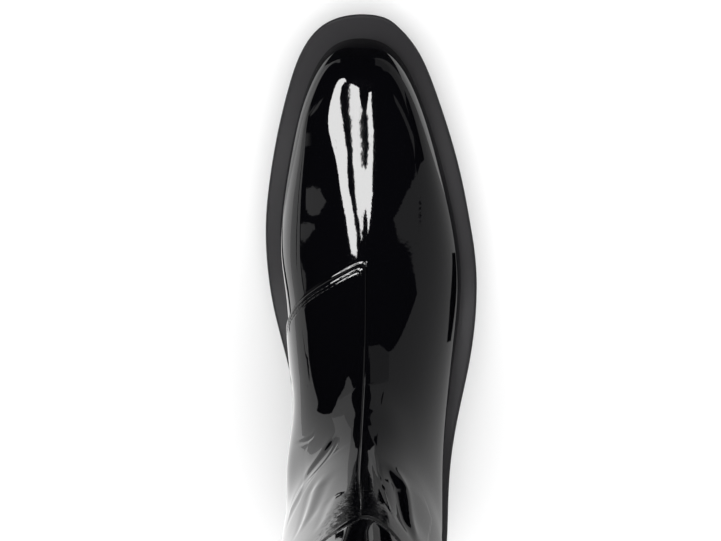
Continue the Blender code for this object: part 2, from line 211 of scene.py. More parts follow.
# Lines pressed in or standing up along the seams: height, distance from the seam or edge, and half width, in
# millimetres
LAP_LINES = ((-0.16, STITCH_ROWS[0], 0.4), (-0.16, STITCH_ROWS[1], 0.4), (-0.12, -0.4, 0.35))
FRONT_LINES = ((-0.15, 0.0, 0.32), (0.02, 1.1, 0.5))
BACK_LINES = ((-0.40, 0.0, 0.6), (0.20, 1.7, 0.9))
ANKLE_LINES = ((0.45, 1.4, 0.9), (-0.25, ANKLE_STITCH, 0.45))
COLLAR_LINES = ((0.45, 1.4, 0.9), (-0.25, COLLAR_STITCH, 0.45))

# The distance over which lines fade, the front seam's start before the lapped seam, and the rounding and the
# drop of a folded edge, in millimetres
LINE_FADE = 4.0
FRONT_START = 1.0
FOLDED_ROUND = 1.2
FOLDED_DROP = 1.1

# The centre front seam: its share at every fourth section, and the last section that the table reaches
CENTRE_SHARES = (0.0, -0.008, -0.024, 0.0, 0.014, 0.002, -0.010, -0.006)
CENTRE_STEP = 4.0
CENTRE_LAST = 27.9

# Folds round the ankle: a path through three points of the leather (section, share), its half width, its
# depth (below zero it stands up as a ridge) and the lift of its heel side over its toe side, in millimetres
FOLD_COLUMNS = ("start", "middle", "end", "width", "depth", "lift")
FOLDS = (
    ((13.98, 0.151), (14.84, 0.263), (15.25, 0.386), 2.0, 0.0, -0.45),
    ((14.11, 0.139), (15.25, 0.218), (15.66, 0.334), 0.8, 0.20, 0.0),
    ((13.25, 0.516), (13.69, 0.385), (13.66, 0.309), 0.7, 0.35, 0.0),
    ((14.95, -0.061), (17.60, -0.097), (22.05, -0.198), 0.8, -0.22, 0.0),
    ((15.80, -0.080), (16.90, -0.088), (17.90, -0.103), 0.7, 0.25, 0.0),
    ((15.50, -0.150), (18.17, -0.203), (22.20, -0.266), 3.4, 0.0, 1.75),
    ((16.53, 0.412), (16.12, 0.360), (15.77, 0.321), 3.2, -0.35, 0.0),
    ((20.27, 0.282), (18.00, 0.222), (15.89, 0.179), 4.0, -0.50, 0.0),
    ((22.94, 0.177), (19.91, 0.125), (18.17, 0.092), 3.0, -0.32, 0.0),
)

# A fold's samples along its path, its reach in half widths, the share of its length that fades at each end,
# and the lip beside its trough: height as a share of the depth, distance and width in half widths
FOLD_SAMPLES = 240
FOLD_REACH = 4.0
FOLD_FADE = 0.3
LIP_HEIGHT = 0.45
LIP_DISTANCE = 1.8
LIP_WIDTH = 0.9

# Soft swellings and dents of the leather: section, share, radius and height in millimetres
SWELL_COLUMNS = ("section", "share", "radius", "height")
SWELLS = (
    (4.9, 0.02, 21.0, 0.7),
    (13.1, -0.06, 13.0, 1.7),
    (13.7, 0.60, 15.0, 1.8),
    (12.0, 0.66, 8.0, -1.5),
)

# The crinkled film over the front of the ankle: the section that it starts from, the sections over which it
# widens, its reach in shares at the ankle edge, its least share of that reach, the seam's line and width that
# it leaves clear, and the sections after which and over which it sets in
CRINKLE_SECTION = 15.5
CRINKLE_SECTIONS = 8.7
CRINKLE_SHARE = 0.14
CRINKLE_LEAST = 0.02
CRINKLE_SEAM = -0.005
CRINKLE_SEAM_WIDTH = 0.007
CRINKLE_AFTER = 1.2
CRINKLE_OVER = 2.2

# The film's coat weight where it is whole and where it is crinkled, and the sums of crinkle pattern and zone
# between which it changes
FILM_GLOSS = 0.65
FILM_DULL = 0.14
DULL_FROM = 0.7
DULL_TO = 1.0

# Pattern sizes, in millimetres. The rubber's grain and the paper's fibre are drawn coarser than real, so that
# they show
FILM_PEEL = 1.92
FILM_WAVE = 6.67
FILM_CRINKLE = 1.92
RUBBER_GRAIN = 0.71
RUBBER_CLOUD = 45.0
LINING_PORES = 0.6
SOCK_PORES = 0.8
LEATHER_MOTTLE = 16.7
THREAD_TWIST = 0.4
PAPER_FIBRE = 2.5

# The leather's grids: steps of the foot's rows, lines of its ankle, steps of half its columns, then the
# shaft's rows and half columns, and the lining's step through them
FOOT_ROWS = 240
ANKLE_ROWS = 97
FOOT_COLUMNS = 120
SHAFT_ROWS = 180
SHAFT_COLUMNS = 99
LINING_STEP = 3

# Where the grids' lines lie closer: an extra share of lines, its middle and its half width, in sections or
# shares, and the even shares with which the instep and the front half of the foot are finer
FOOT_PEAKS = ((7.0, LAP_ROW, 0.16), (1.2, LAP_ROW + 0.2, 0.5))
SHAFT_PEAKS = ((8.0, SHAFT_START, 0.25), (1.0, LAST, 0.3))
COLUMN_PEAKS = ((6.0, 0.0, 0.016), (0.8, 1.0, 0.03))
INSTEP_ROW = 12.5
INSTEP_EXTRA = 0.6
COLUMNS_EVEN = 0.6
FRONT_EXTRA = 0.8
FRONT_SHARE = 0.35
FRONT_FADE = 0.3

# Samples of lines that are measured or sewn, and steps of the sole's and the insole's plans
SPREAD_SAMPLES = 8000
RIM_SAMPLES = 4000
EDGE_SAMPLES = 600
LAP_SAMPLES = 300
CORNER_SAMPLES = 12
RIM_STEPS = 150
ROUND_STEPS = 8
INSOLE_STEPS = 141

# Sizes in millimetres under which vertices are joined, faces count as flat and the toe's row counts as a
# point, slack in row numbers and in divisions, and angles in degrees over which an edge stays sharp
MERGE = 0.02
FLAT = 0.001
POLE = 0.01
ROW_SLACK = 1e-6
TINY = 1e-12
SHARP_LEATHER = 50.0
SHARP_SOLE = 35.0
SHARP_INSOLE = 60.0

# The camera, fitted to the photograph: its rise over the floor and its yaw in degrees, its distance and
# target in metres, its focal length and the picture's width in pixels, and the sensor's width in millimetres
CAMERA_RISE = 75.0
CAMERA_YAW = 1.2
CAMERA_DISTANCE = 1.15
CAMERA_TARGET = (0.0042, -0.0253, 0.024)
CAMERA_FOCAL = 2500.0
PICTURE_WIDTH = 721.0
SENSOR_WIDTH = 36.0

# The floor's size in metres, the fill light's strength and its angle in degrees, and the studio's dark tone
FLOOR_SIZE = 8.0
FILL_STRENGTH = 5.0
FILL_ANGLE = 100.0
STUDIO_DARK = (0.004, 0.004, 0.0045, 1.0)

# Walls that fade out upwards, and the height in metres at which they are dark
FADING = ("wall_back", "wall_back_medial", "wall_back_lateral")
FADE_HEIGHT = 2.4

# Outlines of the lamps, walls and cards round the boot, in metres on their planes. Two of them share the line
# between the light and the dark part of the floor
FLOOR_LINE = (
    (-0.10, -0.153), (-0.10, -0.60), (-0.12, -0.83), (-0.19, -1.2), (-0.26, -2.4), (-0.30, -3.5),
)
STRIP_MEDIAL = (
    (0.155, -0.10), (0.50, -0.10), (0.47, -0.18), (0.44, -0.27), (0.42, -0.38), (0.395, -0.50),
    (0.36, -0.62), (0.31, -0.71), (0.285, -0.78), (0.22, -0.85), (0.115, -0.87), (0.10, -0.83),
    (0.112, -0.78), (0.135, -0.71), (0.158, -0.63), (0.19, -0.54), (0.19, -0.40), (0.175, -0.30),
    (0.155, -0.22),
)
STRIP_MIDDLE = (
    (0.085, -0.12), (0.081, -0.22), (0.092, -0.28), (0.092, -0.36), (0.088, -0.45), (0.095, -0.53),
    (0.087, -0.62), (0.079, -0.68), (0.062, -0.73), (0.047, -0.80), (0.039, -0.78), (0.032, -0.72),
    (0.024, -0.68), (0.009, -0.66), (-0.006, -0.68), (-0.034, -0.73), (-0.060, -0.77), (-0.084, -0.72),
    (-0.082, -0.64), (-0.092, -0.57), (-0.080, -0.51), (-0.068, -0.42), (-0.065, -0.33),
    (-0.075, -0.26), (-0.085, -0.20), (-0.090, -0.12), (-0.025, -0.12), (-0.018, -0.22),
    (-0.008, -0.27), (0.002, -0.33), (0.018, -0.37), (0.030, -0.33), (0.032, -0.26), (0.034, -0.12),
)
CARD_TOE = (
    (-0.050, -0.118), (-0.0109, -0.1225), (-0.0058, -0.1262), (-0.001, -0.1245), (-0.0005, -0.1196),
    (0.0005, -0.112), (0.0035, -0.112), (0.0047, -0.1196), (0.0052, -0.1285), (0.0086, -0.1328),
    (0.0125, -0.1353), (0.0169, -0.1498), (0.050, -0.152), (0.050, -0.22), (-0.050, -0.22),
)
WALL_FRONT = (
    (-0.25, 0.0), (-0.30, 1.08), (-0.87, 1.05), (-1.5, 0.80), (-1.5, 0.0),
)
WALL_LATERAL = (
    (-1.5, 0.80), (-1.1, 0.60), (-0.64, 0.42), (-0.31, 0.33), (-0.08, 0.285), (0.6, 0.26), (0.6, 0.0),
    (-1.5, 0.0),
)
STAND_LATERAL = (
    (-0.05, 0.28), (-0.13, 0.45), (-0.20, 0.62), (-0.235, 0.76), (-0.29, 0.98), (-0.42, 1.36),
    (-0.56, 1.71), (-1.11, 2.81), (-0.82, 1.92), (-0.58, 1.36), (-0.46, 1.08), (-0.35, 0.80),
    (-0.255, 0.545), (-0.232, 0.47), (-0.215, 0.38), (-0.21, 0.28),
)
CARD_TOE_LATERAL = (
    (-0.0848, 0.04), (-0.0848, 0.060), (-0.0825, 0.076), (-0.088, 0.078), (-0.097, 0.068),
    (-0.122, 0.062), (-0.135, 0.04),
)
CARD_FOLD = (
    (-0.036, 0.004), (-0.036, 0.018), (-0.042, 0.024), (-0.056, 0.026), (-0.085, 0.0), (-0.09, -0.06),
    (-0.055, -0.04),
)
WALL_MEDIAL = (
    (0.36, 0.0), (0.32, 0.30), (0.34, 0.44), (0.42, 0.40), (0.64, 0.19), (1.2, 0.05), (1.2, 0.0),
)
STAND_MEDIAL_HIGH = (
    (-0.17, 0.41), (-0.28, 0.96), (-0.45, 1.60), (-0.77, 2.30), (-0.55, 1.40), (-0.34, 0.77),
    (-0.21, 0.42),
)
STAND_MEDIAL_LOW = (
    (-0.165, 0.10), (-0.315, 0.604), (-0.472, 0.996), (-0.508, 1.037), (-0.443, 0.838), (-0.395, 0.634),
    (-0.299, 0.353), (-0.201, 0.09),
)
CARD_MEDIAL = (
    (0.34, -0.03), (0.55, -0.12), (1.07, -0.24), (4.0, -0.85), (4.0, -3.9), (3.0, -3.9), (2.0, -2.45),
    (1.2, -1.3), (0.61, -0.45), (0.45, -0.25),
)
CARD_FRONT = (
    (0.07, -0.153), (0.13, -0.24), (0.28, -0.65), (0.36, -1.2), (0.45, -2.0), (0.60, -3.5),
    *FLOOR_LINE[::-1],
)
CARD_NEAR = (
    (0.07, -0.153), (0.12, -0.24), (0.15, -0.40), (-0.10, -0.40), (-0.10, -0.153),
)
CARD_ANKLE_MEDIAL = (
    (0.056, -0.05), (0.062, -0.04), (0.077, -0.008), (0.076, 0.012), (0.068, 0.010), (0.060, -0.02),
)
GLOW_ANKLE_MEDIAL = (
    (0.046, -0.02), (0.08, -0.08), (0.12, -0.16), (0.20, -0.34), (0.38, -0.42), (0.36, -0.18),
    (0.22, -0.11), (0.14, -0.06), (0.135, 0.02), (0.10, 0.14), (0.04, 0.14),
)
CARD_ANKLE_LATERAL = (
    (-0.060, -0.03), (-0.072, -0.03), (-0.088, -0.003), (-0.086, 0.016), (-0.070, 0.016),
    (-0.064, -0.004),
)
# A dim sheet over the floor beside the lateral side, which the gloss sees in place of the floor: painted
# shadow of the leg on the floor, seen only in reflections
LATERAL_FLOOR_SHADE = (
    (-0.039, 3.5), (-0.039, 0.115), (-0.040, 0.07), (-0.043, 0.043), (-0.051, 0.0), (-0.055, -0.06),
    *FLOOR_LINE, (-4.0, -3.5), (-4.0, 3.5),
)
WALL_BACK = (
    (-4.0, 0.0), (4.0, 0.0), (4.0, FADE_HEIGHT), (-4.0, FADE_HEIGHT),
)
WALL_BACK_SIDE = (
    (0.4, 0.0), (2.0, 0.0), (2.0, FADE_HEIGHT), (0.4, FADE_HEIGHT),
)

# Lamps, walls and cards, which only the boot's gloss sees: name, strength, the axis that its plane lies
# across, the plane's place in metres, and its outline
PANELS = (
    ("strip_medial", 28.0, "z", 1.6, STRIP_MEDIAL),
    ("strip_middle", 28.0, "z", 1.6, STRIP_MIDDLE),
    ("card_toe", 0.0, "z", 0.10, CARD_TOE),
    ("wall_front", 0.36, "y", -1.5, WALL_FRONT),
    ("wall_lateral", 0.50, "x", -1.5, WALL_LATERAL),
    ("stand_lateral", 0.50, "x", -1.49, STAND_LATERAL),
    ("card_toe_lateral", 0.0, "x", -0.08, CARD_TOE_LATERAL),
    ("card_fold", 0.0, "z", 0.12, CARD_FOLD),
    ("wall_medial", 1.1, "y", -1.5, WALL_MEDIAL),
    ("stand_medial_high", 0.95, "x", 1.5, STAND_MEDIAL_HIGH),
    ("stand_medial_low", 0.80, "x", 1.5, STAND_MEDIAL_LOW),
    ("card_medial", 0.0, "z", 0.003, CARD_MEDIAL),
    ("card_front", 0.0, "z", 0.002, CARD_FRONT),
    ("card_near", 0.02, "z", 0.0025, CARD_NEAR),
    ("card_ankle_medial", 0.0, "z", 0.0035, CARD_ANKLE_MEDIAL),
    ("glow_ankle_medial", 2.0, "z", 0.002, GLOW_ANKLE_MEDIAL),
    ("card_ankle_lateral", 0.0, "z", 0.0035, CARD_ANKLE_LATERAL),
    # painted shadow on the floor beside the lateral side, seen only in the gloss
    ("lateral_floor_shade", 0.50, "z", 0.002, LATERAL_FLOOR_SHADE),
    ("wall_back", 0.56, "y", 2.0, WALL_BACK),
    ("wall_back_medial", 0.56, "x", 4.0, WALL_BACK_SIDE),
    ("wall_back_lateral", 0.56, "x", -4.0, WALL_BACK_SIDE),
)


def linear(code):
    """A linear colour from an sRGB hex code."""
    parts = [int(code[i : i + 2], 16) / 255.0 for i in (1, 3, 5)]
    return [c / 12.92 if c <= 0.04045 else ((c + 0.055) / 1.055) ** 2.4 for c in parts]


def colour(name, description, code):
    """A colour property."""
    return FloatVectorProperty(
        name=name, description=description, subtype="COLOR", size=3, min=0.0, max=1.0, default=linear(code)
    )


def length(name, description, millimetres):
    """A length property."""
    return FloatProperty(
        name=name, description=description, unit="LENGTH", min=0.0, precision=5, default=millimetres * MM
    )


class BootSizes(bpy.types.PropertyGroup):
    """Sizes of the leather work"""

    upper_wall: length("Upper wall", "Thickness of the foot's leather with its lining", 2.0)
    shaft_wall: length("Shaft wall", "Thickness of the leg's leather with its lining", 1.6)
    lap_height: length("Lap height", "How far the lapped quarter stands over the vamp", 1.0)
    stitch_pitch: length("Stitch pitch", "Distance from one stitch to the next", 2.5)
    thread: length("Thread", "Diameter of the sewing thread", 0.45)


class BootColours(bpy.types.PropertyGroup):
    """Colours of the materials"""

    patent: colour("Patent leather", "Colour under the clear film", "#050507")
    rubber: colour("Sole rubber", "Colour of the moulded rubber", "#212022")
    lining: colour("Lining", "Colour of the lining leather", "#1d1b1a")
    sock: colour("Insole sock", "Colour of the insole's leather sock", "#211f1d")
    thread: colour("Thread", "Colour of the sewing thread", "#0c0c0d")
    floor: colour("Floor", "Colour of the studio floor", "#f2f2f2")


def spline(values, at, start=None, end=None):
    """A smooth curve through evenly numbered values; start and end fix its slopes where they are given."""
    values = np.asarray(values, dtype=float)
    count = len(values)
    matrix = np.zeros((count, count))
    right = np.zeros(count)
    for i in range(1, count - 1):
        matrix[i, i - 1 : i + 2] = (1.0, 4.0, 1.0)
        right[i] = 3.0 * (values[i + 1] - values[i - 1])
    matrix[0, :2] = (1.0, 0.0) if start is not None else (2.0, 1.0)
    right[0] = start if start is not None else 3.0 * (values[1] - values[0])
    matrix[-1, -2:] = (0.0, 1.0) if end is not None else (1.0, 2.0)
    right[-1] = end if end is not None else 3.0 * (values[-1] - values[-2])
    slopes = np.linalg.solve(matrix, right)
    at = np.asarray(at, dtype=float)
    low = np.clip(at.astype(int), 0, count - 2)
    t = at - low
    rise = values[low + 1] - values[low]
    bend_low = slopes[low] - rise
    bend_high = rise - slopes[low + 1]
    return values[low] + t * rise + t * (1.0 - t) * ((1.0 - t) * bend_low + t * bend_high)


def eased(x):
    """A smooth step from 0 to 1."""
    x = np.clip(x, 0.0, 1.0)
    return x * x * x * (10.0 - 15.0 * x + 6.0 * x * x)


def bump(x, width):
    """A soft rise of height 1 at x = 0."""
    return np.exp(-((x / width) ** 2))


def rounded_edge(inside, radius):
    """A quarter round from 0 at an edge to 1 at its radius."""
    return np.sqrt(np.clip(1.0 - np.clip(1.0 - inside / radius, 0.0, 1.0) ** 2, 0.0, 1.0))


def sole_top(from_toe):
    """Height of the sole's upper face."""
    lift = TOE_LIFT_TOP * np.clip(1.0 - from_toe / TOE_LIFT_LENGTH, 0.0, None) ** 2
    return FOREFOOT_HEIGHT + lift + HEEL_RISE * eased((from_toe - RISE_START) / RISE_LENGTH)


def sole_bottom(from_toe):
    """Height of the sole's underside."""
    lift = TOE_LIFT_BOTTOM * np.clip(1.0 - from_toe / TOE_LIFT_LENGTH, 0.0, None) ** 2
    arch = ARCH_HEIGHT * eased((from_toe - ARCH_START) / ARCH_LENGTH)
    heel = np.clip((from_toe - BREAST_FRONT) / (BREAST_BACK - BREAST_FRONT), 0.0, 1.0)
    return lift + arch * (1.0 - heel)


def undercut(from_toe):
    """How far the tread stands in from the rim."""
    more = eased(1.0 - from_toe / UNDERCUT_LENGTH)
    return SIDE_UNDERCUT + (TOE_UNDERCUT - SIDE_UNDERCUT) * more


def place(from_toe, side, height):
    """Points in the boot's frame, in metres."""
    from_toe, side, height = np.broadcast_arrays(from_toe, side, height)
    return np.stack((side, from_toe - BOX_MIDDLE, height), axis=-1) * MM


def section_values(numbers):
    """The table's columns at these section numbers, as a dictionary of arrays of the same shape."""
    shape = np.shape(numbers)
    numbers = np.ravel(numbers)
    table = dict(zip(SECTION_COLUMNS, np.array(SECTIONS).T))
    found = {name: spline(column, numbers) for name, column in table.items()}
    is_open = numbers <= CLOSING
    foot = np.minimum(numbers, CLOSING)
    leg = np.maximum(numbers, CLOSING) - CLOSING
    for name in ("base_from_toe", "rise", "tuck"):
        slopes = (0.0, 0.0) if name == "base_from_toe" else (None, None)
        in_foot = spline(table[name][: CLOSING + 1], foot, *slopes)
        in_leg = spline(table[name][CLOSING:], leg)
        found[name] = np.where(is_open, in_foot, in_leg)
    found["tuck"] = np.where(is_open, np.maximum(found["tuck"], 0.0), 0.0)
    return {name: column.reshape(shape) for name, column in found.items()}


def leather_points(numbers, around):
    """Points of the outer surface at section numbers and shares of the same shape."""
    row = section_values(numbers)
    start = np.radians(row["tuck"])
    angle = start + (np.pi - start) * (1.0 - np.abs(around))
    side_power = np.where(around > 0.0, row["medial_power"], row["lateral_power"])
    power = np.where(angle > np.pi / 2.0, side_power, 2.0)
    spread = np.abs(np.sin(angle)) ** power + np.abs(np.cos(angle)) ** power
    reach = spread ** (-1.0 / power)
    up = (np.cos(start) - reach * np.cos(angle)) / (1.0 + np.cos(start))
    shape = reach * np.sin(angle) * (1.0 + row["pear"] * np.cos(angle))
    out = row["half_width"] * shape * np.sign(around)
    base_height = sole_top(row["base_from_toe"]) + row["rise"]
    along = row["base_from_toe"] + (row["top_from_toe"] - row["base_from_toe"]) * up
    middle = row["base_side"] + (row["top_side"] - row["base_side"]) * up
    side = middle + row["sway"] * 4.0 * up * (1.0 - up) + out
    height = base_height + (row["top_height"] - base_height) * up
    return place(along, side, height)


def spread_out(low, high, steps, density):
    """Values from low to high, closer together where the density is higher."""
    fine = np.linspace(low, high, SPREAD_SAMPLES)
    weight = density(fine)
    total = np.concatenate(([0.0], np.cumsum((weight[1:] + weight[:-1]) / 2.0 * np.diff(fine))))
    return np.interp(np.linspace(0.0, total[-1], steps + 1), total, fine)


def edge_rise(row, column):
    """How many sections the leather's rows move up with the curve of the ankle edge."""
    away = column - EDGE_LOWEST
    reach = np.where(away > 0.0, EDGE_REACH_MEDIAL, EDGE_REACH_LATERAL)
    side = np.where(away > 0.0, EDGE_RISE_MEDIAL, EDGE_RISE_LATERAL)
    rise = side * (1.0 - bump(away, reach))
    rise += (EDGE_RISE_BACK - side) * eased((np.abs(column) - EDGE_BACK) / (1.0 - EDGE_BACK))
    below = eased((row - CLOSING) / (SHAFT_START - CLOSING))
    above = 1.0 - eased((row - SHAFT_START) / EDGE_FADE)
    return rise * np.where(row < SHAFT_START, below, above)


class Leather:
    """A grid on the outer surface, with rows along the lapped seam and columns along the centre seam."""

    def __init__(self, rows, columns):
        self.rows = rows
        self.columns = columns
        row, column = np.meshgrid(rows, columns, indexing="ij")
        lap = spline(LAP_SECTIONS, np.clip(column, 0.0, 1.0) * (len(LAP_SECTIONS) - 1))
        shift = (lap - LAP_ROW) * (1.0 - eased(-column / LAP_SWING))
        near = 1.0 - eased((np.abs(row - LAP_ROW) - LAP_BAND) / LAP_REACH)
        self.section = row + near * shift + edge_rise(row, column)
        centre = spline(CENTRE_SHARES, np.clip(self.section, 0.0, CENTRE_LAST) / CENTRE_STEP)
        self.share = column + centre * (1.0 - np.abs(column)) ** 2
        self.base = leather_points(self.section, self.share)
        up = np.gradient(self.base, rows, axis=0)
        around = np.gradient(self.base, columns, axis=1)
        closed = rows >= CLOSING - ROW_SLACK
        seam = (self.base[:, 1] - self.base[:, -2]) / (2.0 * (columns[1] - columns[0]))
        around[closed, 0] = around[closed, -1] = seam[closed]
        up[closed, 0] = up[closed, -1] = ((up[:, 0] + up[:, -1]) / 2.0)[closed]
        area = np.cross(around, up)
        size = np.linalg.norm(area, axis=2)
        self.normal = area / np.maximum(size, TINY)[..., None]
        self.row_step = size / np.maximum(np.linalg.norm(around, axis=2), TINY) / MM
        self.column_step = size / np.maximum(np.linalg.norm(up, axis=2), TINY) / MM
        self.relief = np.zeros(self.section.shape)
        if np.linalg.norm(self.base[0] - self.base[0, :1], axis=1).max() < POLE * MM:
            self.normal[0] = self.normal[1, len(columns) // 2]

    def points(self):
        """The outer surface with its relief."""
        return self.base + self.normal * self.relief[..., None] * MM

    def at(self, row, column, points):
        """Grid values at rows and columns between the grid's own."""
        i = np.interp(row, self.rows, np.arange(len(self.rows)))
        j = np.interp(-np.asarray(column), -self.columns, np.arange(len(self.columns)))
        i0 = np.clip(i.astype(int), 0, len(self.rows) - 2)
        j0 = np.clip(j.astype(int), 0, len(self.columns) - 2)
        u = (i - i0)[:, None]
        v = (j - j0)[:, None]
        low = points[i0, j0] * (1.0 - v) + points[i0, j0 + 1] * v
        high = points[i0 + 1, j0] * (1.0 - v) + points[i0 + 1, j0 + 1] * v
        return low * (1.0 - u) + high * u


def add_lines(leather, distance, lines, share=1.0):
    """Adds lines at their distances from a seam or an edge, by a share of their height."""
    for height, middle, width in lines:
        leather.relief += height * bump(distance - middle, width) * share


def add_folds(leather, folds):
    """Presses soft troughs, ridges and steps into the leather along short paths."""
    flat = leather.base.reshape(-1, 3)
    normal = leather.normal.reshape(-1, 3)
    relief = np.zeros(len(flat))
    t = np.linspace(0.0, 1.0, FOLD_SAMPLES)
    for fold in folds:
        row = dict(zip(FOLD_COLUMNS, fold))
        ends = [np.array(row[name], dtype=float)[:, None] for name in ("start", "middle", "end")]
        bend = 2.0 * ends[1] - (ends[0] + ends[2]) / 2.0
        path = ends[0] * (1.0 - t) ** 2 + bend * 2.0 * t * (1.0 - t) + ends[2] * t**2
        line = leather_points(path[0], path[1])
        reach = FOLD_REACH * row["width"] * MM
        inside = np.all((flat > line.min(axis=0) - reach) & (flat < line.max(axis=0) + reach), axis=1)
        near = flat[inside]
        gap = np.linalg.norm(near[:, None, :] - line[None, :, :], axis=2) / MM
        nearest = gap.argmin(axis=1)
        away = gap[np.arange(len(near)), nearest] / row["width"]
        along = t[nearest]
        ends_fade = eased(along / FOLD_FADE) * eased((1.0 - along) / FOLD_FADE)
        trough = LIP_HEIGHT * bump(away - LIP_DISTANCE, LIP_WIDTH) - bump(away, 1.0)
        across = np.cross(normal[inside], np.gradient(line, axis=0)[nearest])
        side = np.sign(np.sum(across * (near - line[nearest]), axis=1))
        step = side * away / np.sqrt(1.0 + away**4)
        relief[inside] += ends_fade * (row["depth"] * trough + row["lift"] * step)
    leather.relief += relief.reshape(leather.relief.shape)


def add_swells(leather, swells):
    """Raises soft round swellings and sinks dents."""
    for swell in swells:
        row = dict(zip(SWELL_COLUMNS, swell))
        middle = leather_points(np.array([row["section"]]), np.array([row["share"]]))[0]
        away = np.linalg.norm(leather.base - middle, axis=2) / MM
        leather.relief += row["height"] * bump(away, row["radius"])


def walled_mesh(name, outer, inner, open_rows, rims, looks):
    """A closed hollow mesh from an outer grid and a lining of some lines of the inner one.

    The two sides stay apart up to open_rows, and rims says which of the grid's end rows have a rim.
    """
    high, wide = outer.shape[:2]
    outer_id = np.arange(high * wide).reshape(high, wide)
    kept = inner[::LINING_STEP, ::LINING_STEP]
    inner_id = high * wide + np.arange(kept.shape[0] * kept.shape[1]).reshape(kept.shape[:2])
    faces = []
    for grid, turned in ((outer_id, False), (inner_id, True)):
        a, b, c, d = grid[:-1, :-1], grid[1:, :-1], grid[1:, 1:], grid[:-1, 1:]
        corners = np.stack((a, d, c, b) if turned else (a, b, c, d), axis=-1).reshape(-1, 4)
        faces.extend(corners[:, ::-1].tolist())
    outside = (high - 1) * (wide - 1)
    lining = len(faces) - outside
    edges = []
    if open_rows:
        last = open_rows // LINING_STEP
        edges.append((outer_id[: open_rows + 1, 0], inner_id[: last + 1, 0], True))
        edges.append((outer_id[: open_rows + 1, -1], inner_id[: last + 1, -1], False))
    if "first" in rims:
        edges.append((outer_id[0], inner_id[0], False))
    if "last" in rims:
        edges.append((outer_id[-1], inner_id[-1], True))
    for out_line, in_line, turned in edges:
        for k in range(len(in_line) - 1):
            face = out_line[k * LINING_STEP : (k + 1) * LINING_STEP + 1].tolist()
            face += [int(in_line[k + 1]), int(in_line[k])]
            faces.append(face[::-1] if turned else face)
    mesh = bpy.data.meshes.new(name)
    mesh.from_pydata(np.concatenate((outer.reshape(-1, 3), kept.reshape(-1, 3))).tolist(), [], faces)
    slots = np.zeros(len(faces), dtype=np.int32)
    slots[outside : outside + lining] = 1
    mesh.polygons.foreach_set("material_index", slots)
    for look in looks:
        mesh.materials.append(look)
    return mesh


def weld(model):
    """Joins vertices that lie on each other and takes out faces without area."""
    bmesh.ops.remove_doubles(model, verts=model.verts, dist=MERGE * MM)
    bmesh.ops.dissolve_degenerate(model, edges=model.edges, dist=FLAT * MM)


def finished(name, mesh, node=None, sharp=SHARP_LEATHER):
    """Cleans a mesh, makes it a piece on the boot's one body and hides the packed part that it stands for."""
    model = bmesh.new()
    model.from_mesh(mesh)
    weld(model)
    model.to_mesh(mesh)
    model.free()
    if not mesh.polygons:
        raise RuntimeError(f"{name} came out with no faces")
    mesh.shade_smooth()
    mesh.set_sharp_from_angle(angle=np.radians(sharp))
    piece = bpy.data.objects.new(name, mesh)
    bpy.context.scene.collection.objects.link(piece)
    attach(piece, "root")
    if node:
        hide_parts(node)
    return piece


def add_node(tree, kind, inputs=None, **settings):
    """Adds a node with its settings and its input values or links."""
    node = tree.nodes.new(kind)
    for name, value in settings.items():
        setattr(node, name, value)
    for name, value in (inputs or {}).items():
        socket = node.inputs[name]
        if isinstance(value, bpy.types.NodeSocket):
            tree.links.new(value, socket)
        else:
            socket.default_value = value
    return node


def new_material(name):
    """A material with its node tree and its shader."""
    made = bpy.data.materials.new(name)
    made.use_nodes = True
    tree = made.node_tree
    return made, tree, tree.nodes["Principled BSDF"]


def object_spot(tree):
    """The place on the object that a pattern is drawn by."""
    return add_node(tree, "ShaderNodeTexCoord").outputs["Object"]


def per_metre(size):
    """The scale of a pattern from its size in millimetres."""
    return 1.0 / (size * MM)


def noise(tree, spot, size, detail, roughness=0.5):
    """A cloudy pattern of a size in millimetres."""
    pattern = {"Vector": spot, "Scale": per_metre(size), "Detail": detail, "Roughness": roughness}
    return add_node(tree, "ShaderNodeTexNoise", pattern).outputs["Fac"]


def raised(tree, height, strength, depth, normal=None):
    """A normal that follows a pattern's height, with its depth in millimetres, over another normal."""
    relief = {"Height": height, "Strength": strength, "Distance": depth * MM}
    if normal is not None:
        relief["Normal"] = normal
    return add_node(tree, "ShaderNodeBump", relief).outputs["Normal"]


def set_tones(tree, shader, pattern, shade, low, high):
    """Varies the base colour over a pattern, between two multiples of a shade."""
    tone = add_node(tree, "ShaderNodeMix", {"Factor": pattern}, data_type="RGBA")
    tone.inputs["A"].default_value = (*[c * low for c in shade], 1.0)
    tone.inputs["B"].default_value = (*[c * high for c in shade], 1.0)
    tree.links.new(tone.outputs["Result"], shader.inputs["Base Color"])


def add_crinkles(tree, shader, spot, normal):
    """Creases the film where the piece's crinkle attribute is high, and takes some of its gloss there."""
    wrinkled = add_node(tree, "ShaderNodeAttribute", attribute_name="crinkle").outputs["Fac"]
    crinkle = noise(tree, spot, FILM_CRINKLE, detail=2.0, roughness=0.55)
    pair = {0: crinkle, 1: wrinkled}
    depth = add_node(tree, "ShaderNodeMath", pair, operation="MULTIPLY").outputs["Value"]
    ragged = add_node(tree, "ShaderNodeMath", pair, operation="ADD").outputs["Value"]
    levels = {"From Min": DULL_FROM, "From Max": DULL_TO, "To Min": FILM_GLOSS, "To Max": FILM_DULL}
    dulled = add_node(tree, "ShaderNodeMapRange", {"Value": ragged, **levels})
    tree.links.new(dulled.outputs["Result"], shader.inputs["Coat Weight"])
    return raised(tree, depth, strength=0.7, depth=0.8, normal=normal)


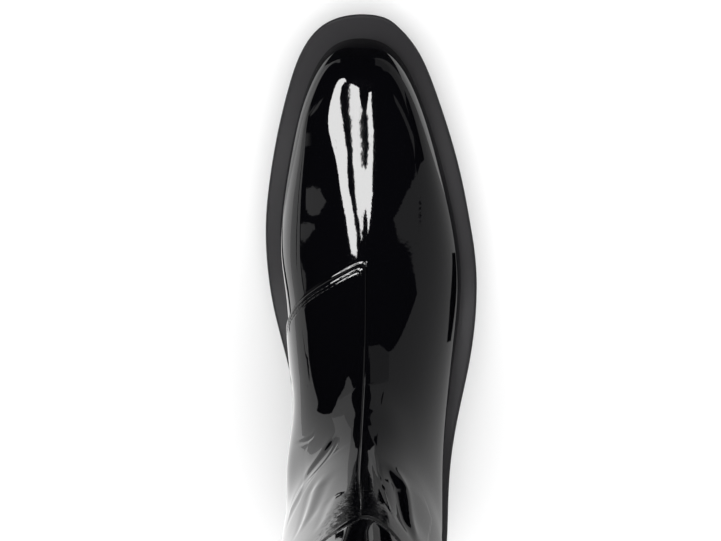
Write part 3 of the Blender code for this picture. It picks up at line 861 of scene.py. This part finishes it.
def patent_leather(name, colours, crinkled):
    """Patent leather: black leather under a poured film, mirror bright with a slight orange peel."""
    made, tree, shader = new_material(name)
    spot = object_spot(tree)
    shader.inputs["Base Color"].default_value = (*colours.patent, 1.0)
    shader.inputs["Roughness"].default_value = 0.4
    shader.inputs["Specular IOR Level"].default_value = 0.0
    shader.inputs["Coat Weight"].default_value = FILM_GLOSS
    shader.inputs["Coat Roughness"].default_value = 0.03
    wave = noise(tree, spot, FILM_WAVE, detail=1.0, roughness=0.4)
    peel = noise(tree, spot, FILM_PEEL, detail=2.0)
    normal = raised(tree, wave, strength=0.02, depth=0.6)
    normal = raised(tree, peel, strength=0.03, depth=0.2, normal=normal)
    if crinkled:
        normal = add_crinkles(tree, shader, spot, normal)
    tree.links.new(normal, shader.inputs["Normal"])
    tree.links.new(normal, shader.inputs["Coat Normal"])
    return made


def sole_rubber(colours):
    """Moulded rubber: matte, with the fine grain of a blasted mould and a faint bloom."""
    made, tree, shader = new_material("moulded_rubber")
    spot = object_spot(tree)
    cloud = noise(tree, spot, RUBBER_CLOUD, detail=3.0)
    set_tones(tree, shader, cloud, colours.rubber, low=0.88, high=1.12)
    normal = raised(tree, noise(tree, spot, RUBBER_GRAIN, detail=3.0), strength=0.12, depth=0.2)
    tree.links.new(normal, shader.inputs["Normal"])
    shader.inputs["Roughness"].default_value = 0.55
    shader.inputs["IOR"].default_value = 1.5
    shader.inputs["Specular IOR Level"].default_value = 0.3
    return made


def matte_leather(name, shade, pores):
    """Drum-dyed lining leather: matte, with fine pores."""
    made, tree, shader = new_material(name)
    spot = object_spot(tree)
    set_tones(tree, shader, noise(tree, spot, LEATHER_MOTTLE, detail=3.0), shade, low=0.8, high=1.2)
    cells = add_node(tree, "ShaderNodeTexVoronoi", {"Vector": spot, "Scale": per_metre(pores)})
    normal = raised(tree, cells.outputs["Distance"], strength=0.3, depth=0.3)
    tree.links.new(normal, shader.inputs["Normal"])
    shader.inputs["Roughness"].default_value = 0.7
    return made


def sewing_thread(colours):
    """Bonded polyester thread: a twisted, slightly shiny strand."""
    made, tree, shader = new_material("polyester_thread")
    twist = noise(tree, object_spot(tree), THREAD_TWIST, detail=2.0)
    normal = raised(tree, twist, strength=0.4, depth=0.1)
    tree.links.new(normal, shader.inputs["Normal"])
    shader.inputs["Base Color"].default_value = (*colours.thread, 1.0)
    shader.inputs["Roughness"].default_value = 0.35
    return made


def floor_paper(colours):
    """Seamless studio paper: pale and even, with a fine fibre mottle."""
    made, tree, shader = new_material("studio_paper")
    fibre = noise(tree, object_spot(tree), PAPER_FIBRE, detail=2.0)
    set_tones(tree, shader, fibre, colours.floor, low=0.99, high=1.0)
    shader.inputs["Roughness"].default_value = 0.9
    shader.inputs["Specular IOR Level"].default_value = 0.1
    return made


def studio_world():
    """A dark studio all round, that the camera itself sees as a pale backdrop."""
    world = bpy.data.worlds.new("studio_dark")
    world.use_nodes = True
    tree = world.node_tree
    dark = tree.nodes["Background"]
    dark.inputs["Color"].default_value = STUDIO_DARK
    pale = add_node(tree, "ShaderNodeBackground", {"Color": (1.0, 1.0, 1.0, 1.0)})
    seen = add_node(tree, "ShaderNodeLightPath").outputs["Is Camera Ray"]
    mix = add_node(tree, "ShaderNodeMixShader", {"Fac": seen})
    tree.links.new(dark.outputs["Background"], mix.inputs[1])
    tree.links.new(pale.outputs["Background"], mix.inputs[2])
    tree.links.new(mix.outputs["Shader"], tree.nodes["World Output"].inputs["Surface"])
    return world


def glow(name, strength, fading):
    """A lamp's diffuser or a lit wall, or a card where the strength is nil; a fading one is dark on top."""
    made, tree, shader = new_material(name)
    shader.inputs["Base Color"].default_value = (0.0, 0.0, 0.0, 1.0)
    shader.inputs["Specular IOR Level"].default_value = 0.0
    shader.inputs["Emission Color"].default_value = (1.0, 1.0, 1.0, 1.0)
    shader.inputs["Emission Strength"].default_value = strength
    if fading:
        height = add_node(tree, "ShaderNodeSeparateXYZ", {"Vector": object_spot(tree)}).outputs["Z"]
        levels = {"From Min": 0.0, "From Max": FADE_HEIGHT, "To Min": strength, "To Max": 0.0}
        smooth = {"interpolation_type": "SMOOTHSTEP"}
        faded = add_node(tree, "ShaderNodeMapRange", {"Value": height, **levels}, **smooth)
        tree.links.new(faded.outputs["Result"], shader.inputs["Emission Strength"])
    return made


def materials(context):
    """The materials by name; the boot's are made on the first call."""
    if bpy.data.materials.get("patent_leather") is None:
        colours = context.scene.boot_colours
        patent_leather("crinkled_patent_leather", colours, True)
        patent_leather("patent_leather", colours, False)
        sole_rubber(colours)
        matte_leather("lining_leather", colours.lining, LINING_PORES)
        matte_leather("sock_leather", colours.sock, SOCK_PORES)
        sewing_thread(colours)
    return bpy.data.materials


def peaked(at, peaks):
    """The extra share of grid lines at its peaks."""
    return sum(extra * bump(at - middle, width) for extra, middle, width in peaks)


def column_density(column):
    """How close the columns lie: closer over the front, at the centre seam and at the base."""
    front = FRONT_EXTRA * (1.0 - eased((column - FRONT_SHARE) / FRONT_FADE))
    return COLUMNS_EVEN + front + peaked(column, COLUMN_PEAKS)


def foot_density(row):
    """How close the foot's rows lie: closer at the lapped seam and over the instep."""
    return 1.0 + peaked(row, FOOT_PEAKS) + INSTEP_EXTRA * eased(row - INSTEP_ROW)


def shaft_density(row):
    """How close the shaft's rows lie: closer at its two edges."""
    return 1.0 + peaked(row, SHAFT_PEAKS)


def column_spread(steps):
    """Columns from the medial base over the centre front to the lateral base."""
    half = spread_out(0.0, 1.0, steps, column_density)
    return np.concatenate((half[::-1], -half[1:]))


def foot_leather():
    """The foot's leather before its seams and folds."""
    foot = spread_out(0.0, CLOSING, FOOT_ROWS, foot_density)
    ankle = np.linspace(CLOSING, UPPER_END, ANKLE_ROWS)
    return Leather(np.concatenate((foot, ankle[1:])), column_spread(FOOT_COLUMNS))


def seam_lines(leather):
    """Numbers of the grid's row on the lapped seam and of its column on the centre front."""
    return int(np.argmin(np.abs(leather.rows - LAP_ROW))), int(np.argmin(np.abs(leather.columns)))


def lap_distances(leather):
    """Distances behind the lapped seam, to the medial side of the centre seam and inside the lap's edge."""
    row, column = np.meshgrid(leather.rows, leather.columns, indexing="ij")
    seam_row, seam_column = seam_lines(leather)
    behind = (row - LAP_ROW) * leather.row_step[seam_row][None, :]
    medial = column * leather.column_step[:, seam_column][:, None]
    corner = np.hypot(np.maximum(LAP_CORNER - behind, 0.0), np.maximum(LAP_CORNER - medial, 0.0))
    rounded = (behind < LAP_CORNER) & (medial < LAP_CORNER)
    inside = np.where(rounded, LAP_CORNER - corner, np.minimum(behind, medial))
    return behind, medial, inside


def add_foot_seams(leather, lap_height):
    """Raises the lapped quarter, sinks the stitch rows and presses in the closed seam up the centre front."""
    behind, medial, inside = lap_distances(leather)
    fall = 1.0 + (np.maximum(behind, 0.0) / LAP_FALL_BEHIND) ** 2
    height = lap_height * (LAP_LEFT + (1.0 - LAP_LEFT) / fall)
    edge = rounded_edge(inside, LAP_ROUND)
    leather.relief += height * edge / (1.0 + (np.maximum(inside, 0.0) / LAP_FALL_INSIDE) ** 2)
    add_lines(leather, inside, LAP_LINES, 1.0 - eased((behind - LINE_FADE) / LINE_FADE))
    add_lines(leather, np.abs(medial), FRONT_LINES, eased((behind + FRONT_START) / LINE_FADE))


def upper_leather(sizes):
    """The foot's leather with its seams, folds and swellings."""
    leather = foot_leather()
    add_foot_seams(leather, sizes.lap_height / MM)
    add_folds(leather, FOLDS)
    add_swells(leather, SWELLS)
    return leather


def crinkle_zone(leather):
    """How crinkled the film is at each point of the grid, from 0 to 1."""
    above = leather.section - CRINKLE_SECTION
    reach = CRINKLE_SHARE * np.clip(above / CRINKLE_SECTIONS, CRINKLE_LEAST, 1.0)
    clear = bump(leather.share - CRINKLE_SEAM, CRINKLE_SEAM_WIDTH)
    set_in = np.clip((above - CRINKLE_AFTER) / CRINKLE_OVER, 0.0, 1.0)
    return bump(leather.share, reach) * (1.0 - clear) * set_in


class BOOT_OT_upper(bpy.types.Operator):
    """Build the foot of the boot in patent leather, with its seams and ankle folds"""

    bl_idname = "boot.upper"
    bl_label = "Upper"

    def execute(self, context):
        sizes = context.scene.boot_sizes
        looks = materials(context)
        leather = upper_leather(sizes)
        inner = leather.base - leather.normal * sizes.upper_wall
        closed_toe = int(np.argmax(leather.rows > TOE_CLOSED)) // LINING_STEP * LINING_STEP
        inner[:closed_toe] = inner[closed_toe, [0, -1]].mean(axis=0)
        closing_row = int(np.argmin(np.abs(leather.rows - CLOSING)))
        sides = (looks["crinkled_patent_leather"], looks["lining_leather"])
        mesh = walled_mesh("upper_leather", leather.points(), inner, closing_row, ("last",), sides)
        zone = crinkle_zone(leather)
        crinkle = np.zeros(len(mesh.vertices), dtype=np.float32)
        crinkle[: zone.size] = zone.ravel()
        mesh.attributes.new("crinkle", "FLOAT", "POINT").data.foreach_set("value", crinkle)
        finished("upper_leather", mesh, "upper")
        return {"FINISHED"}


def add_shaft_seams(leather):
    """Rolls the folded edges of the ankle and the collar, and presses in the closed seam up the back."""
    row, column = np.meshgrid(leather.rows, leather.columns, indexing="ij")
    above = (row - leather.rows[0]) * leather.row_step[0][None, :]
    below = (leather.rows[-1] - row) * leather.row_step[-1][None, :]
    for edge, lines in ((above, ANKLE_LINES), (below, COLLAR_LINES)):
        leather.relief -= FOLDED_DROP * (1.0 - rounded_edge(edge, FOLDED_ROUND))
        add_lines(leather, edge, lines)
    behind = (1.0 - np.abs(column)) * leather.column_step[:, :1]
    add_lines(leather, behind, BACK_LINES)


def shaft_leather(wall):
    """The leg's leather, lapped over the foot's at the ankle."""
    rows = spread_out(SHAFT_START, LAST, SHAFT_ROWS, shaft_density)
    leather = Leather(rows, column_spread(SHAFT_COLUMNS))
    lap = (wall + LAP_GAP) * eased((LAP_END - rows) / (LAP_END - UPPER_END))
    leather.lap = np.repeat(lap[:, None], len(leather.columns), axis=1)
    leather.relief += leather.lap
    add_shaft_seams(leather)
    return leather


class BOOT_OT_shaft(bpy.types.Operator):
    """Build the leg of the boot in patent leather, with its folded edges and back seam"""

    bl_idname = "boot.shaft"
    bl_label = "Shaft"

    def execute(self, context):
        sizes = context.scene.boot_sizes
        looks = materials(context)
        wall = sizes.shaft_wall / MM
        leather = shaft_leather(wall)
        inner = leather.base + leather.normal * (leather.lap - wall)[..., None] * MM
        sides = (looks["patent_leather"], looks["lining_leather"])
        mesh = walled_mesh("shaft_leather", leather.points(), inner, 0, ("first", "last"), sides)
        finished("shaft_leather", mesh, "shaft")
        return {"FINISHED"}


def lap_line(leather, offset):
    """Rows and columns of a line at an offset inside the lapped quarter's edge, round its corner."""
    seam_row, seam_column = seam_lines(leather)
    across = leather.column_step[seam_row, seam_column]
    turn = np.linspace(0.0, np.pi / 2.0, CORNER_SAMPLES)
    reach = LAP_CORNER - offset
    straight = np.linspace(LAP_STITCH_END * across, LAP_CORNER, LAP_SAMPLES)
    medial = np.concatenate((straight, LAP_CORNER - reach * np.sin(turn)))
    behind = np.concatenate((np.full(LAP_SAMPLES, offset), LAP_CORNER - reach * np.cos(turn)))
    column = medial / across
    along = np.interp(-column, -leather.columns, leather.row_step[seam_row])
    return LAP_ROW + behind / along, column


def stitch_tree():
    """Nodes that set stitches along a line of edges."""
    tree = bpy.data.node_groups.new("stitch_rows", "GeometryNodeTree")
    tree.interface.new_socket("Line", in_out="INPUT", socket_type="NodeSocketGeometry")
    for name in ("Pitch", "Length", "Thread"):
        tree.interface.new_socket(name, in_out="INPUT", socket_type="NodeSocketFloat")
    tree.interface.new_socket("Material", in_out="INPUT", socket_type="NodeSocketMaterial")
    tree.interface.new_socket("Stitches", in_out="OUTPUT", socket_type="NodeSocketGeometry")
    given = add_node(tree, "NodeGroupInput").outputs
    curve = add_node(tree, "GeometryNodeMeshToCurve", {"Mesh": given["Line"]})
    spots = add_node(
        tree,
        "GeometryNodeCurveToPoints",
        {"Curve": curve.outputs["Curve"], "Length": given["Pitch"]},
        mode="LENGTH",
    )
    strand = add_node(tree, "GeometryNodeMeshUVSphere", {"Segments": 8, "Rings": 6, "Radius": 0.5})
    sides = {"X": given["Thread"], "Y": given["Thread"], "Z": given["Length"]}
    size = add_node(tree, "ShaderNodeCombineXYZ", sides)
    sewn = add_node(
        tree,
        "GeometryNodeInstanceOnPoints",
        {
            "Points": spots.outputs["Points"],
            "Instance": strand.outputs["Mesh"],
            "Rotation": spots.outputs["Rotation"],
            "Scale": size.outputs["Vector"],
        },
    )
    real = add_node(tree, "GeometryNodeRealizeInstances", {"Geometry": sewn.outputs["Instances"]})
    look = add_node(
        tree,
        "GeometryNodeSetMaterial",
        {"Geometry": real.outputs["Geometry"], "Material": given["Material"]},
    )
    add_node(tree, "NodeGroupOutput", {"Stitches": look.outputs["Geometry"]})
    return tree


def sew(name, tree, lines, sizes, look):
    """Makes one piece of stitches along lines of points."""
    mesh = bpy.data.meshes.new(name)
    starts = np.cumsum([0] + [len(line) for line in lines])
    edges = [(i, i + 1) for a, b in zip(starts, starts[1:]) for i in range(a, b - 1)]
    mesh.from_pydata(np.concatenate(lines).tolist(), edges, [])
    guide = bpy.data.objects.new(name + "_line", mesh)
    bpy.context.scene.collection.objects.link(guide)
    stitches = guide.modifiers.new("Stitches", "NODES")
    stitches.node_group = tree
    values = {
        "Pitch": sizes.stitch_pitch,
        "Length": STITCH_SHARE * sizes.stitch_pitch,
        "Thread": sizes.thread,
        "Material": look,
    }
    for item in tree.interface.items_tree:
        if item.name in values:
            stitches[item.identifier] = values[item.name]
    finished(name, applied(guide))


class BOOT_OT_stitches(bpy.types.Operator):
    """Sew the rows of stitches along the lapped seam, the ankle edge and the collar"""

    bl_idname = "boot.stitches"
    bl_label = "Stitches"

    def execute(self, context):
        sizes = context.scene.boot_sizes
        look = materials(context)["polyester_thread"]
        tree = stitch_tree()
        upper = upper_leather(sizes)
        outer = upper.points()
        lap = [upper.at(*lap_line(upper, offset), outer) for offset in STITCH_ROWS]
        sew("lap_stitches", tree, lap, sizes, look)
        shaft = shaft_leather(sizes.shaft_wall / MM)
        outer = shaft.points()
        columns = np.linspace(1.0, -1.0, EDGE_SAMPLES)
        first, last = (np.interp(-columns, -shaft.columns, shaft.row_step[row]) for row in (0, -1))
        ankle = shaft.at(SHAFT_START + ANKLE_STITCH / first, columns, outer)
        collar = shaft.at(LAST - COLLAR_STITCH / last, columns, outer)
        sew("ankle_stitches", tree, [ankle], sizes, look)
        sew("collar_stitches", tree, [collar], sizes, look)
        return {"FINISHED"}


def rim_sides(steps):
    """The medial and lateral halves of the rim's plan, from the toe to the back of the heel."""
    table = dict(zip(OUTLINE_COLUMNS, np.array(OUTLINE).T))
    last = len(OUTLINE) - 1.0
    numbers = np.linspace(0.0, last, steps + 1)
    fine = np.linspace(0.0, last, RIM_SAMPLES)
    fine_along = spline(table["from_toe"], fine, start=0.0, end=0.0)
    extra = np.interp((BREAST_FRONT, BREAST_BACK), fine_along, fine)
    numbers = np.unique(np.concatenate((numbers, extra)))
    along = spline(table["from_toe"], numbers, start=0.0, end=0.0)
    medial = np.stack((along, spline(table["medial"], numbers)), axis=1)
    lateral = np.stack((along, spline(table["lateral"], numbers)), axis=1)
    return medial, lateral


def inset(curve, distance):
    """Moves one half of a plan, rows of from_toe and side, in by a distance along its normals."""
    step = np.gradient(curve, axis=0)
    step[0, 0] = step[-1, 0] = 0.0
    inward = np.stack((step[:, 1], -step[:, 0]), axis=1)
    inward /= np.linalg.norm(inward, axis=1, keepdims=True)
    half = 1.0 if curve[:, 1].mean() > 0.0 else -1.0
    return curve + half * inward * np.reshape(distance, (-1, 1))


def ladder_mesh(name, loops, look):
    """A closed solid from stacked plan loops, each of a medial and a lateral row that meet at both ends."""
    mesh = bpy.data.meshes.new(name)
    model = bmesh.new()
    rings = []
    for medial, lateral in loops:
        near = [model.verts.new(point) for point in medial]
        far = [model.verts.new(point) for point in lateral]
        rings.append((near, far))
    for low, high in zip(rings, rings[1:]):
        for i in range(len(low[0]) - 1):
            model.faces.new((low[0][i], low[0][i + 1], high[0][i + 1], high[0][i]))
            model.faces.new((low[1][i + 1], low[1][i], high[1][i], high[1][i + 1]))
    for (near, far), turned in ((rings[0], True), (rings[-1], False)):
        for i in range(len(near) - 1):
            corners = (near[i], near[i + 1], far[i + 1], far[i])
            model.faces.new(corners[::-1] if turned else corners)
    weld(model)
    bmesh.ops.recalc_face_normals(model, faces=model.faces)
    model.to_mesh(mesh)
    model.free()
    mesh.materials.append(look)
    return mesh


def applied(made):
    """The mesh of an object with its modifiers applied; the object is removed."""
    graph = bpy.context.evaluated_depsgraph_get()
    mesh = bpy.data.meshes.new_from_object(made.evaluated_get(graph), depsgraph=graph)
    bpy.data.objects.remove(made)
    return mesh


def sole_levels():
    """The sole's loops from the tread to the rim: how far each stands in, its lift, and its face."""
    turn = np.linspace(0.0, np.pi / 2.0, ROUND_STEPS)
    opening = 1.0 - np.cos(turn)
    closing = 1.0 - np.sin(turn)
    tread = zip(closing[::2], opening[::2])
    rim = zip(opening, closing)
    levels = [(FLOOR_CHAMFER * move, FLOOR_CHAMFER * lift, sole_bottom) for move, lift in tread]
    levels += [(RIM_ROUND * move, -RIM_ROUND * drop, sole_top) for move, drop in rim]
    return levels


def sole_loops():
    """The sole's plan loops, with the tread standing in under the rim."""
    sides = rim_sides(RIM_STEPS)
    rim_along = sides[0][:, 0]
    loops = []
    for move, lift, face in sole_levels():
        loop = []
        for rim in sides:
            under = undercut(rim_along) if face is sole_bottom else np.zeros(len(rim))
            curve = inset(rim, move + under)
            along = rim_along if face is sole_bottom else curve[:, 0]
            loop.append(place(curve[:, 0], curve[:, 1], face(along) + lift))
        loops.append(loop)
    return loops


def add_grooves(context, sole):
    """Adds a cut for each groove of the tread, and returns the cutters."""
    table = dict(zip(OUTLINE_COLUMNS, np.array(OUTLINE).T))
    cutters = []
    for from_toe in GROOVES_FROM_TOE:
        medial = np.interp(from_toe, table["from_toe"], table["medial"]) - GROOVE_MARGIN
        lateral = np.interp(from_toe, table["from_toe"], table["lateral"]) + GROOVE_MARGIN
        middle = place(from_toe, (medial + lateral) / 2.0, 0.0)
        bpy.ops.mesh.primitive_cube_add(size=1.0, location=middle)
        cutter = context.active_object
        cutter.scale = ((medial - lateral) * MM, GROOVE_WIDTH * MM, 2.0 * GROOVE_DEPTH * MM)
        cutters.append(cutter)
        cut = sole.modifiers.new("Groove", "BOOLEAN")
        cut.operation = "DIFFERENCE"
        cut.object = cutter
    return cutters


class BOOT_OT_outsole(bpy.types.Operator):
    """Build the moulded rubber sole with its rounded rim, arch, heel and tread grooves"""

    bl_idname = "boot.outsole"
    bl_label = "Outsole"

    def execute(self, context):
        look = materials(context)["moulded_rubber"]
        blank = ladder_mesh("outsole_rubber", sole_loops(), look)
        sole = bpy.data.objects.new("outsole_blank", blank)
        context.scene.collection.objects.link(sole)
        cutters = add_grooves(context, sole)
        mesh = applied(sole)
        for cutter in cutters:
            bpy.data.objects.remove(cutter)
        finished("outsole_rubber", mesh, "outsole", SHARP_SOLE)
        return {"FINISHED"}


class BOOT_OT_insole(bpy.types.Operator):
    """Build the insole with its leather sock"""

    bl_idname = "boot.insole"
    bl_label = "Insole"

    def execute(self, context):
        look = materials(context)["sock_leather"]
        numbers = np.linspace(0.0, CLOSING, INSOLE_STEPS)
        wall = context.scene.boot_sizes.upper_wall / MM
        loops = []
        for move, lift in INSOLE_LOOPS:
            loop = []
            for share in (1.0, -1.0):
                feather = leather_points(numbers, np.full(len(numbers), share)) / MM
                curve = np.stack((feather[:, 1] + BOX_MIDDLE, feather[:, 0]), axis=1)
                curve = inset(curve, np.full(len(numbers), wall + INSOLE_CLEARANCE + move))
                loop.append(place(curve[:, 0], curve[:, 1], sole_top(curve[:, 0]) + FIT_GAP + lift))
            loops.append(loop)
        finished("insole_sock", ladder_mesh("insole_sock", loops, look), "insole", SHARP_INSOLE)
        return {"FINISHED"}


def add_floor(scene):
    """Lays the pale floor."""
    bpy.ops.mesh.primitive_plane_add(size=FLOOR_SIZE, location=(0.0, 0.0, 0.0))
    floor = bpy.context.active_object
    floor.name = "studio_floor"
    floor.data.materials.append(floor_paper(scene.boot_colours))


def add_panels(scene):
    """Hangs the lamps, walls and cards that only the boot's gloss sees."""
    for name, strength, axis, value, corners in PANELS:
        mesh = bpy.data.meshes.new(name)
        points = [np.insert(corner, "xyz".index(axis), value) for corner in corners]
        mesh.from_pydata(points, [], [range(len(corners))])
        mesh.materials.append(glow(name, strength, name in FADING))
        panel = bpy.data.objects.new(name, mesh)
        panel.visible_camera = False
        panel.visible_shadow = False
        panel.visible_diffuse = False
        scene.collection.objects.link(panel)


def add_fill(scene):
    """Lights the floor and the sole softly from above."""
    data = bpy.data.lights.new("fill", "SUN")
    data.energy = FILL_STRENGTH
    data.angle = np.radians(FILL_ANGLE)
    fill = bpy.data.objects.new("fill", data)
    fill.visible_glossy = False
    scene.collection.objects.link(fill)


def add_camera(scene):
    """Sets the camera above the boot, with the toe up in its picture."""
    camera = bpy.data.objects.new("camera", bpy.data.cameras.new("camera"))
    scene.collection.objects.link(camera)
    rise = np.radians(CAMERA_RISE)
    back = Vector((-np.tan(np.radians(CAMERA_YAW)), -np.cos(rise), np.sin(rise))).normalized()
    up = Vector((0.0, -1.0, 0.0))
    up = (up - back * up.dot(back)).normalized()
    right = up.cross(back)
    spot = Vector(CAMERA_TARGET) + back * CAMERA_DISTANCE
    turn = Matrix((right, up, back)).transposed().to_4x4()
    camera.matrix_world = Matrix.Translation(spot) @ turn
    camera.data.lens = CAMERA_FOCAL * SENSOR_WIDTH / PICTURE_WIDTH
    camera.data.sensor_width = SENSOR_WIDTH
    scene.camera = camera


class BOOT_OT_stage(bpy.types.Operator):
    """Set the pale floor, the studio lights and the camera"""

    bl_idname = "boot.stage"
    bl_label = "Stage"

    def execute(self, context):
        scene = context.scene
        scene.view_settings.view_transform = "Standard"
        add_floor(scene)
        scene.world = studio_world()
        add_panels(scene)
        add_fill(scene)
        add_camera(scene)
        return {"FINISHED"}


class BOOT_PT_parts(bpy.types.Panel):
    """Lists the boot's pieces, sizes and colours"""

    bl_idname = "BOOT_PT_parts"
    bl_label = "Thigh-high boot"
    bl_space_type = "VIEW_3D"
    bl_region_type = "UI"
    bl_category = "Boot"

    def draw(self, context):
        layout = self.layout
        for operator in OPERATORS:
            layout.operator(operator.bl_idname)
        for group in (context.scene.boot_sizes, context.scene.boot_colours):
            for name in group.__annotations__:
                layout.prop(group, name)


OPERATORS = (BOOT_OT_upper, BOOT_OT_shaft, BOOT_OT_stitches, BOOT_OT_outsole, BOOT_OT_insole, BOOT_OT_stage)
CLASSES = (BootSizes, BootColours, *OPERATORS, BOOT_PT_parts)


def register():
    """Registers the classes and puts the sizes and colours on the scene."""
    for item in CLASSES:
        bpy.utils.register_class(item)
    bpy.types.Scene.boot_sizes = PointerProperty(type=BootSizes)
    bpy.types.Scene.boot_colours = PointerProperty(type=BootColours)


def unregister():
    """Takes the sizes and colours off the scene and unregisters the classes."""
    del bpy.types.Scene.boot_colours
    del bpy.types.Scene.boot_sizes
    for item in reversed(CLASSES):
        bpy.utils.unregister_class(item)


def main():
    """Builds the boot and its stage."""
    register()
    bpy.ops.boot.upper()
    bpy.ops.boot.shaft()
    bpy.ops.boot.stitches()
    bpy.ops.boot.outsole()
    bpy.ops.boot.insole()
    bpy.ops.boot.stage()


if __name__ == "__main__":
    main()
